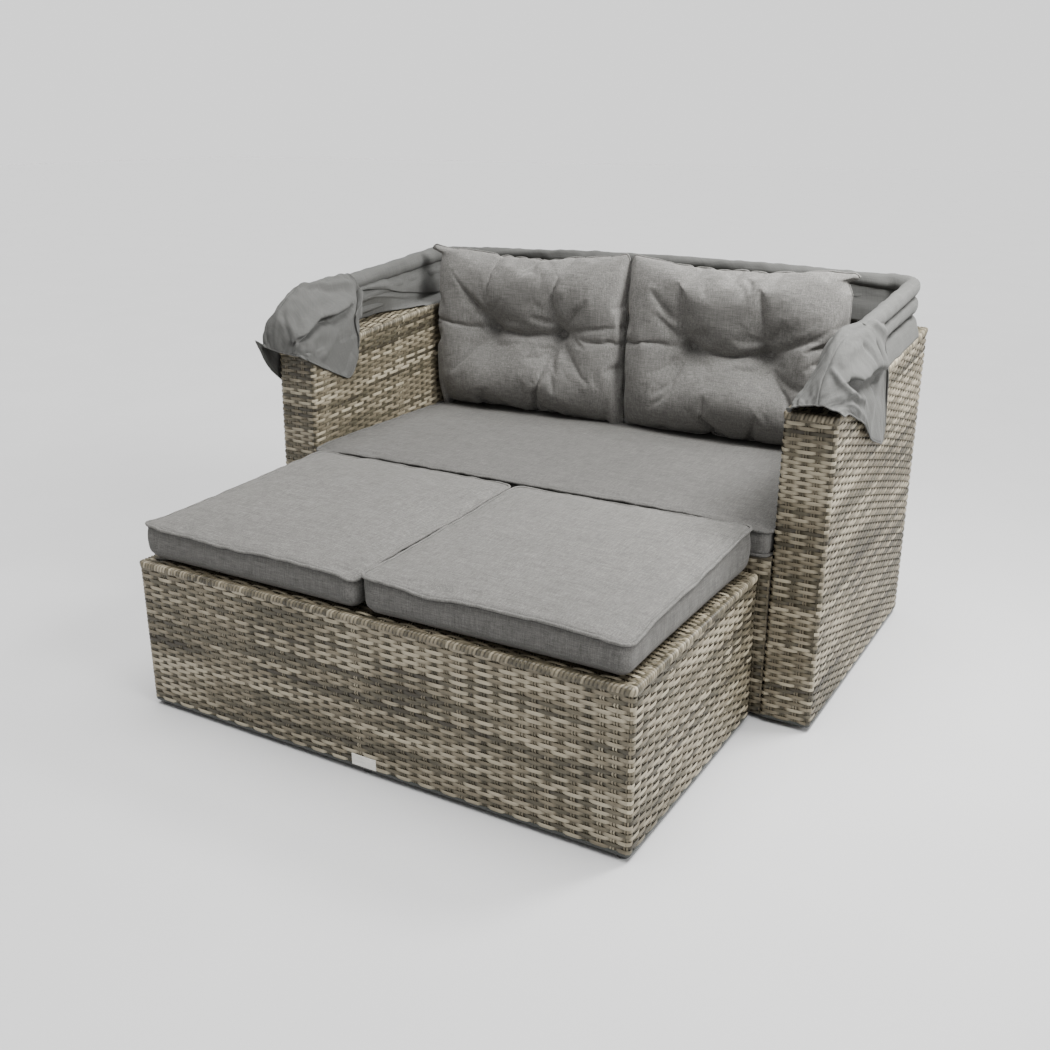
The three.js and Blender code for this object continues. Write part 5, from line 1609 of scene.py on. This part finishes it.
# Folds of the side cloths: height and width in metres, then places as shares of a cloth's length and width. A
# step stands higher on the left of its path than on the right.
LEFT_FOLDS = (
    ("step", 0.017, 0.014, (
        (0.22, 0.27), (0.44, 0.26), (0.51, 0.27), (0.60, 0.28), (0.75, 0.25), (0.88, 0.27),
    )),
    ("fold", -0.013, 0.010, ((0.47, 0.25), (0.58, 0.265))),
    ("fold", 0.005, 0.009, ((0.86, 0.28), (0.91, 0.22), (0.98, 0.14))),
    ("fold", -0.005, 0.014, ((0.80, 0.50), (0.88, 0.38), (0.95, 0.26))),
    ("fold", 0.006, 0.012, ((0.56, 0.58), (0.36, 0.45), (0.08, 0.40))),
    ("fold", -0.006, 0.015, ((0.54, 0.49), (0.36, 0.38), (0.12, 0.33))),
    ("fold", 0.004, 0.012, ((0.42, 0.20), (0.56, 0.12), (0.70, 0.05))),
    ("fold", -0.004, 0.012, ((0.27, 0.14), (0.38, 0.07), (0.48, 0.02))),
    ("step", -0.013, 0.012, ((0.00, 0.33), (0.07, 0.25), (0.16, 0.17))),
    ("fold", 0.008, 0.018, ((0.30, 0.75), (0.50, 0.85), (0.62, 0.97))),
    ("fold", -0.007, 0.018, ((0.55, 0.72), (0.75, 0.84), (0.80, 0.97))),
    ("fold", 0.006, 0.015, ((0.10, 0.70), (0.22, 0.86), (0.28, 0.98))),
)
RIGHT_FOLDS = (
    ("step", -0.019, 0.018, (
        (0.14, 0.86), (0.35, 0.82), (0.48, 0.82), (0.57, 0.82), (0.68, 0.80), (0.76, 0.74),
    )),
    ("fold", -0.014, 0.009, ((0.31, 0.79), (0.26, 0.77))),
    ("fold", -0.006, 0.010, ((0.47, 0.72), (0.40, 0.78))),
    ("fold", 0.008, 0.009, (
        (0.76, 0.56), (0.79, 0.62), (0.82, 0.68), (0.83, 0.79), (0.72, 0.88), (0.52, 0.91),
    )),
    ("fold", 0.006, 0.012, ((0.38, 0.82), (0.42, 0.90), (0.52, 0.99))),
    ("fold", 0.004, 0.009, ((0.90, 0.86), (0.72, 0.95), (0.50, 0.995))),
    ("fold", 0.007, 0.012, ((0.26, 0.64), (0.17, 0.72), (0.01, 0.79))),
    ("fold", -0.006, 0.012, ((0.12, 0.62), (0.06, 0.72))),
    ("fold", -0.006, 0.014, ((0.52, 0.57), (0.32, 0.63), (0.20, 0.60))),
    ("fold", 0.006, 0.014, ((0.60, 0.36), (0.72, 0.30), (0.86, 0.22))),
    ("fold", 0.005, 0.015, ((0.30, 0.30), (0.45, 0.24), (0.55, 0.12))),
    ("fold", 0.004, 0.016, ((0.55, 0.67), (0.66, 0.66), (0.74, 0.64))),
)
LEFT_SEAM = (
    (0.50, 0.585), (0.60, 0.56), (0.70, 0.545), (0.79, 0.56), (0.88, 0.62), (0.95, 0.70), (1.0, 0.77),
)
RIGHT_SEAM = (
    (0.54, 0.575), (0.68, 0.54), (0.74, 0.51), (0.82, 0.49), (0.91, 0.51), (1.0, 0.55),
)
# About the length and width of a side cloth, and its facets each way
CLOTH_SPAN = (0.46, 0.44)
CLOTH_FACETS = (121, 141)
# How far the cloth stays off the arm's woven faces, and how near its top it counts as lying on it
CLOTH_OFF_ARM = 0.0035
CLOTH_NEAR_ARM = 0.003
CLOTH_NEAR_TOP = 0.004
# The pressed seam across a side cloth, its thread and the rolled hem
SEAM_DEPTH = 0.0016
SEAM_WIDTH = 0.0035
STITCHES = 90
THREAD_RADIUS = 0.0007
THREAD_LIFT = 0.0004
HEM_RADIUS = 0.0019
HEM_STEP = 0.007
# A step's slope is this much steeper than a plain fold's, and the cloth below it sinks by this share
STEP_SLOPE = 2.33
STEP_SINK = 0.8


def between(values, at):
    """Smooth values along the first axis of a table, at fractional places."""
    values = np.asarray(values, float)
    padded = np.concatenate([[2 * values[0] - values[1]], values, [2 * values[-1] - values[-2]]])
    i = np.minimum(at.astype(int), len(values) - 2)
    t = (at - i).reshape((-1,) + (1,) * (values.ndim - 1))
    p0, p1, p2, p3 = (padded[i + k] for k in range(4))
    square = 2 * p0 - 5 * p1 + 4 * p2 - p3
    cube = 3 * (p1 - p2) + p3 - p0
    return 0.5 * (2 * p1 + (p2 - p0) * t + square * t**2 + cube * t**3)


def fold_heights(flat, folds):
    """How far the folds lift a side cloth's points off it, and how far they sink."""
    lift = np.zeros(flat.shape[:-1])
    sink = np.zeros(flat.shape[:-1])
    for kind, height, width, path in folds:
        distance, along, side = from_path(flat, np.array(path) * CLOTH_SPAN)
        taper = np.clip(np.minimum(along, 1 - along) / 0.18 + 0.25, 0, 1)
        shape = height * bell(distance, width) * taper
        if kind == "step":
            shape = shape * side * distance / width * STEP_SLOPE
            sink += np.clip(shape, 0, None) * STEP_SINK
        lift += shape
    return lift, sink


def clear_of_arm(points, across):
    """Move a side cloth's points out of the arm that it lies on."""
    x, y, z = (points[..., axis] for axis in range(3))
    top = arm_top(np.maximum(y, FRONT))
    over_arm = y > FRONT - CLOTH_NEAR_TOP
    low = z - top
    inner = across < 0.5
    beside = (low < CLOTH_NEAR_TOP) & over_arm
    x = np.where(beside & inner & (low < 0.0005), np.minimum(x, ARM_INSIDE - CLOTH_OFF_ARM), x)
    x = np.where(beside & ~inner, np.maximum(x, HALF_WIDTH + CLOTH_OFF_ARM), x)
    on_top = (x > ARM_INSIDE - CLOTH_NEAR_ARM) & (x < HALF_WIDTH + CLOTH_NEAR_ARM) & over_arm
    z = np.where(on_top, np.maximum(z, top + CLOTH_OFF_ARM), z)
    return np.stack([x, y, z], axis=-1)


def on_cloth(points, shares, count):
    """Points evenly along a path on a cloth, whose places are shares of its length and width."""
    rows, columns = points.shape[:2]
    at = np.array(shares) * (rows - 1, columns - 1)
    steps = np.linspace(0, 1, count)
    lengths = arc_lengths(at)
    i, j = (np.interp(steps, lengths / lengths[-1], at[:, axis]) for axis in range(2))
    a, b = np.minimum(i.astype(int), rows - 2), np.minimum(j.astype(int), columns - 2)
    s, t = (i - a)[:, None], (j - b)[:, None]
    return ((1 - s) * (1 - t) * points[a, b] + s * (1 - t) * points[a + 1, b]
            + (1 - s) * t * points[a, b + 1] + s * t * points[a + 1, b + 1])


def side_cloth(table, folds, seam, seed):
    """Points of a side cloth over the right arm with its folds, and of the stitches along its seam."""
    rows, columns = CLOTH_FACETS
    share, across = np.meshgrid(np.linspace(0, 1, rows), np.linspace(0, 1, columns), indexing="ij")
    lines = between(table, share[:, 0] * (len(table) - 1))
    sheet = np.moveaxis(between(np.moveaxis(lines, 1, 0), across[0] * (len(table[0]) - 1)), 1, 0) * MM
    up = arm_top(FRONT + np.maximum(sheet[..., 1], 0)) + sheet[..., 2]
    points = np.stack([sheet[..., 0], FRONT + sheet[..., 1], up], axis=-1)
    out = np.cross(np.gradient(points, axis=1), np.gradient(points, axis=0))
    out /= np.linalg.norm(out, axis=-1)[..., None]
    out *= np.sign(out[rows // 2, columns // 2, 2])
    flat = np.stack([share * CLOTH_SPAN[0], across * CLOTH_SPAN[1]], axis=-1)
    lift, sink = fold_heights(flat, folds)
    from_seam = from_path(flat, np.array(seam) * CLOTH_SPAN)[0]
    lift -= SEAM_DEPTH * bell(from_seam, SEAM_WIDTH)
    place = flat @ np.array([[1.0, 0.0, 0.3], [0.0, 1.0, 0.2]])
    lift += 0.0026 * waves(place, 0.13, seed) + 0.0020 * waves(place, 0.055, seed + 1)
    lift += 0.0006 * waves(place, 0.024, seed + 2)
    points = points + out * lift[..., None]
    points[..., 2] -= sink
    points = clear_of_arm(points, across)
    return points, on_cloth(points, seam, STITCHES)


class DAYBED_OT_side_cloths(bpy.types.Operator):
    """Drape the slack side cloths over the arms"""

    bl_idname = "daybed.side_cloths"
    bl_label = "Drape side cloths"

    def execute(self, context):
        plans = (
            ("right", 1, RIGHT_CLOTH, RIGHT_FOLDS, RIGHT_SEAM, 141),
            ("left", -1, LEFT_CLOTH, LEFT_FOLDS, LEFT_SEAM, 151),
        )
        for side, sign, table, folds, seam, seed in plans:
            points, stitches = side_cloth(table, folds, seam, seed)
            points, stitches = points * (sign, 1, 1), stitches * (sign, 1, 1)
            if sign < 0:
                points = points[:, ::-1]
            made, flat, area = cloth_object(f"{side}_side_cloth", points)
            bake(made)
            rolled = dress(tube(f"{side}_hem", thin(edge_loop(points), HEM_STEP), HEM_RADIUS, 6), "canopy")
            stitches = stitches + (0, 0, THREAD_LIFT)
            thread = dress(tube(f"{side}_thread", stitches, THREAD_RADIUS, 5, closed=False), "thread")
            join(made, rolled, thread)
            stand_for(made, f"{side}_front_drape", "sofa")
            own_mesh(made)
        return {"FINISHED"}


# Hardware and stage

# The finish of each piece that keeps its own shape, by the first of these words in its name
HARDWARE_FINISHES = (
    ("_foot", "foot"),
    ("bow_rest", "foot"),
    ("knob", "knob"),
    ("tag", "tag"),
    ("bracket_screw", "steel"),
    ("bolt", "steel"),
    ("bracket", "bracket"),
    ("_frame", "frame"),
    ("_bow", "bow"),
)
FLOOR_SIZE = 30.0
# Lamps: which way they stand or where, how wide they are, how strong, and where the panel aims
KEY_LIGHT = ((0.86, -0.12, 0.40), 26.0, 2.3)
TOP_LIGHT = ((0.10, -0.02, 1.0), 56.0, 6.6)
CORNER_PANEL = ((1.15, 0.35, 1.75), 0.4, 50.0, (0.72, 0.1, 0.85))
# The room's brightness from the floor up: place on the ramp and level, and its strength
ROOM_LEVELS = ((0.0, 1.0), (0.10, 1.0), (0.24, 0.22), (0.9, 0.42))
ROOM_STRENGTH = 1.35
LAMP_DISTANCE = 4.0
SENSOR = 36.0
LENS = 39.46
CAMERA_PLACE = (1.35565, -2.34642, 1.29428)
# How far the camera stands round to the right, how far up, and its tilt
CAMERA_AZIMUTH = 30.5
CAMERA_ELEVATION = 19.48
CAMERA_ROLL = -0.07


class DAYBED_OT_hardware(bpy.types.Operator):
    """Finish the frames, bows, brackets, bolts, knobs, feet and tag"""

    bl_idname = "daybed.hardware"
    bl_label = "Finish hardware"

    def execute(self, context):
        for name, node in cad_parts.items():
            for part, finish in HARDWARE_FINISHES:
                if part in name and not node.hide_render:
                    dress(node, finish)
                    break
        return {"FINISHED"}


class DAYBED_OT_stage(bpy.types.Operator):
    """Set the floor, the lights and the camera"""

    bl_idname = "daybed.stage"
    bl_label = "Set stage"

    def execute(self, context):
        scene = context.scene
        bm = bmesh.new()
        bmesh.ops.create_grid(bm, x_segments=2, y_segments=2, size=FLOOR_SIZE)
        mesh = bpy.data.meshes.new("studio_floor")
        bm.to_mesh(mesh)
        bm.free()
        floor = bpy.data.objects.new("studio_floor", mesh)
        scene.collection.objects.link(floor)
        paint = Paint("studio_floor_paint", Roughness=0.7)
        fine = paint.noise(paint.place(), 3.0, 2.0)
        tone = colours().floor
        base = paint.ramp(fine, [(0.3, shade(tone, 0.985)), (0.7, shade(tone, 1.015))])
        floor.data.materials.append(paint.finish(Base_Color=base))
        self.room(scene)
        self.lamp("key_light", *KEY_LIGHT)
        self.panel_lamp("corner_panel", *CORNER_PANEL)
        self.lamp("top_light", *TOP_LIGHT)
        self.camera()
        return {"FINISHED"}

    def room(self, scene):
        """A pale room that is brightest near the floor and dimmer overhead, where the lamps are."""
        world = bpy.data.worlds.new("studio")
        world.use_nodes = True
        nodes, links = world.node_tree.nodes, world.node_tree.links
        ways = nodes.new("ShaderNodeTexCoord")
        split = nodes.new("ShaderNodeSeparateXYZ")
        ramp = nodes.new("ShaderNodeValToRGB")
        links.new(ways.outputs["Generated"], split.inputs[0])
        links.new(split.outputs["Z"], ramp.inputs["Fac"])
        elements = ramp.color_ramp.elements
        while len(elements) < len(ROOM_LEVELS):
            elements.new(0.5)
        for element, (position, level) in zip(elements, ROOM_LEVELS):
            element.position = position
            element.color = (level, level, level, 1.0)
        links.new(ramp.outputs["Color"], nodes["Background"].inputs["Color"])
        nodes["Background"].inputs["Strength"].default_value = ROOM_STRENGTH
        scene.world = world

    def lamp(self, name, toward, spread, strength):
        """A wide soft light from one direction, the same all over the floor."""
        data = bpy.data.lights.new(name, "SUN")
        data.angle = math.radians(spread)
        data.energy = strength
        lamp = bpy.data.objects.new(name, data)
        bpy.context.scene.collection.objects.link(lamp)
        lamp.location = Vector(toward) * LAMP_DISTANCE
        lamp.rotation_euler = (-Vector(toward)).to_track_quat("-Z", "Y").to_euler()

    def panel_lamp(self, name, place, size, power, aim):
        """A square soft light near the object, which reaches its near side most."""
        data = bpy.data.lights.new(name, "AREA")
        data.shape = "SQUARE"
        data.size = size
        data.energy = power
        lamp = bpy.data.objects.new(name, data)
        bpy.context.scene.collection.objects.link(lamp)
        lamp.location = place
        lamp.rotation_euler = (Vector(aim) - Vector(place)).to_track_quat("-Z", "Y").to_euler()

    def camera(self):
        data = bpy.data.cameras.new("camera")
        data.sensor_width = SENSOR
        data.sensor_fit = "AUTO"
        data.lens = LENS
        camera = bpy.data.objects.new("camera", data)
        bpy.context.scene.collection.objects.link(camera)
        azimuth, elevation = math.radians(CAMERA_AZIMUTH), math.radians(CAMERA_ELEVATION)
        level = math.cos(elevation)
        away = Vector((math.sin(azimuth) * level, -math.cos(azimuth) * level, math.sin(elevation)))
        roll = Matrix.Rotation(math.radians(CAMERA_ROLL), 3, "Z")
        turn = away.to_track_quat("Z", "Y").to_matrix() @ roll
        camera.location = CAMERA_PLACE
        camera.rotation_euler = turn.to_euler()
        bpy.context.scene.camera = camera


class DAYBED_PT_panel(bpy.types.Panel):
    """The steps that make the daybed"""

    bl_label = "Daybed"
    bl_space_type = "VIEW_3D"
    bl_region_type = "UI"
    bl_category = "Daybed"

    def draw(self, context):
        for step in STEPS:
            self.layout.operator(step)
        for group in (context.scene.daybed_sizes, context.scene.daybed_colours):
            for key in group.bl_rna.properties.keys():
                if key not in {"rna_type", "name"}:
                    self.layout.prop(group, key)


STEPS = (
    "daybed.arms",
    "daybed.back",
    "daybed.seat",
    "daybed.ottoman",
    "daybed.seat_cushion",
    "daybed.ottoman_cushions",
    "daybed.back_cushions",
    "daybed.canopy",
    "daybed.side_cloths",
    "daybed.hardware",
    "daybed.stage",
)
CLASSES = (
    DaybedSizes,
    DaybedColours,
    DAYBED_OT_arms,
    DAYBED_OT_back,
    DAYBED_OT_seat,
    DAYBED_OT_ottoman,
    DAYBED_OT_seat_cushion,
    DAYBED_OT_ottoman_cushions,
    DAYBED_OT_back_cushions,
    DAYBED_OT_canopy,
    DAYBED_OT_side_cloths,
    DAYBED_OT_hardware,
    DAYBED_OT_stage,
    DAYBED_PT_panel,
)


def register():
    for made in CLASSES:
        bpy.utils.register_class(made)
    bpy.types.Scene.daybed_sizes = bpy.props.PointerProperty(type=DaybedSizes)
    bpy.types.Scene.daybed_colours = bpy.props.PointerProperty(type=DaybedColours)


def unregister():
    del bpy.types.Scene.daybed_colours
    del bpy.types.Scene.daybed_sizes
    for made in reversed(CLASSES):
        bpy.utils.unregister_class(made)


def main():
    register()
    for step in STEPS:
        group, name = step.split(".")
        getattr(getattr(bpy.ops, group), name)()


if __name__ == "__main__":
    main()
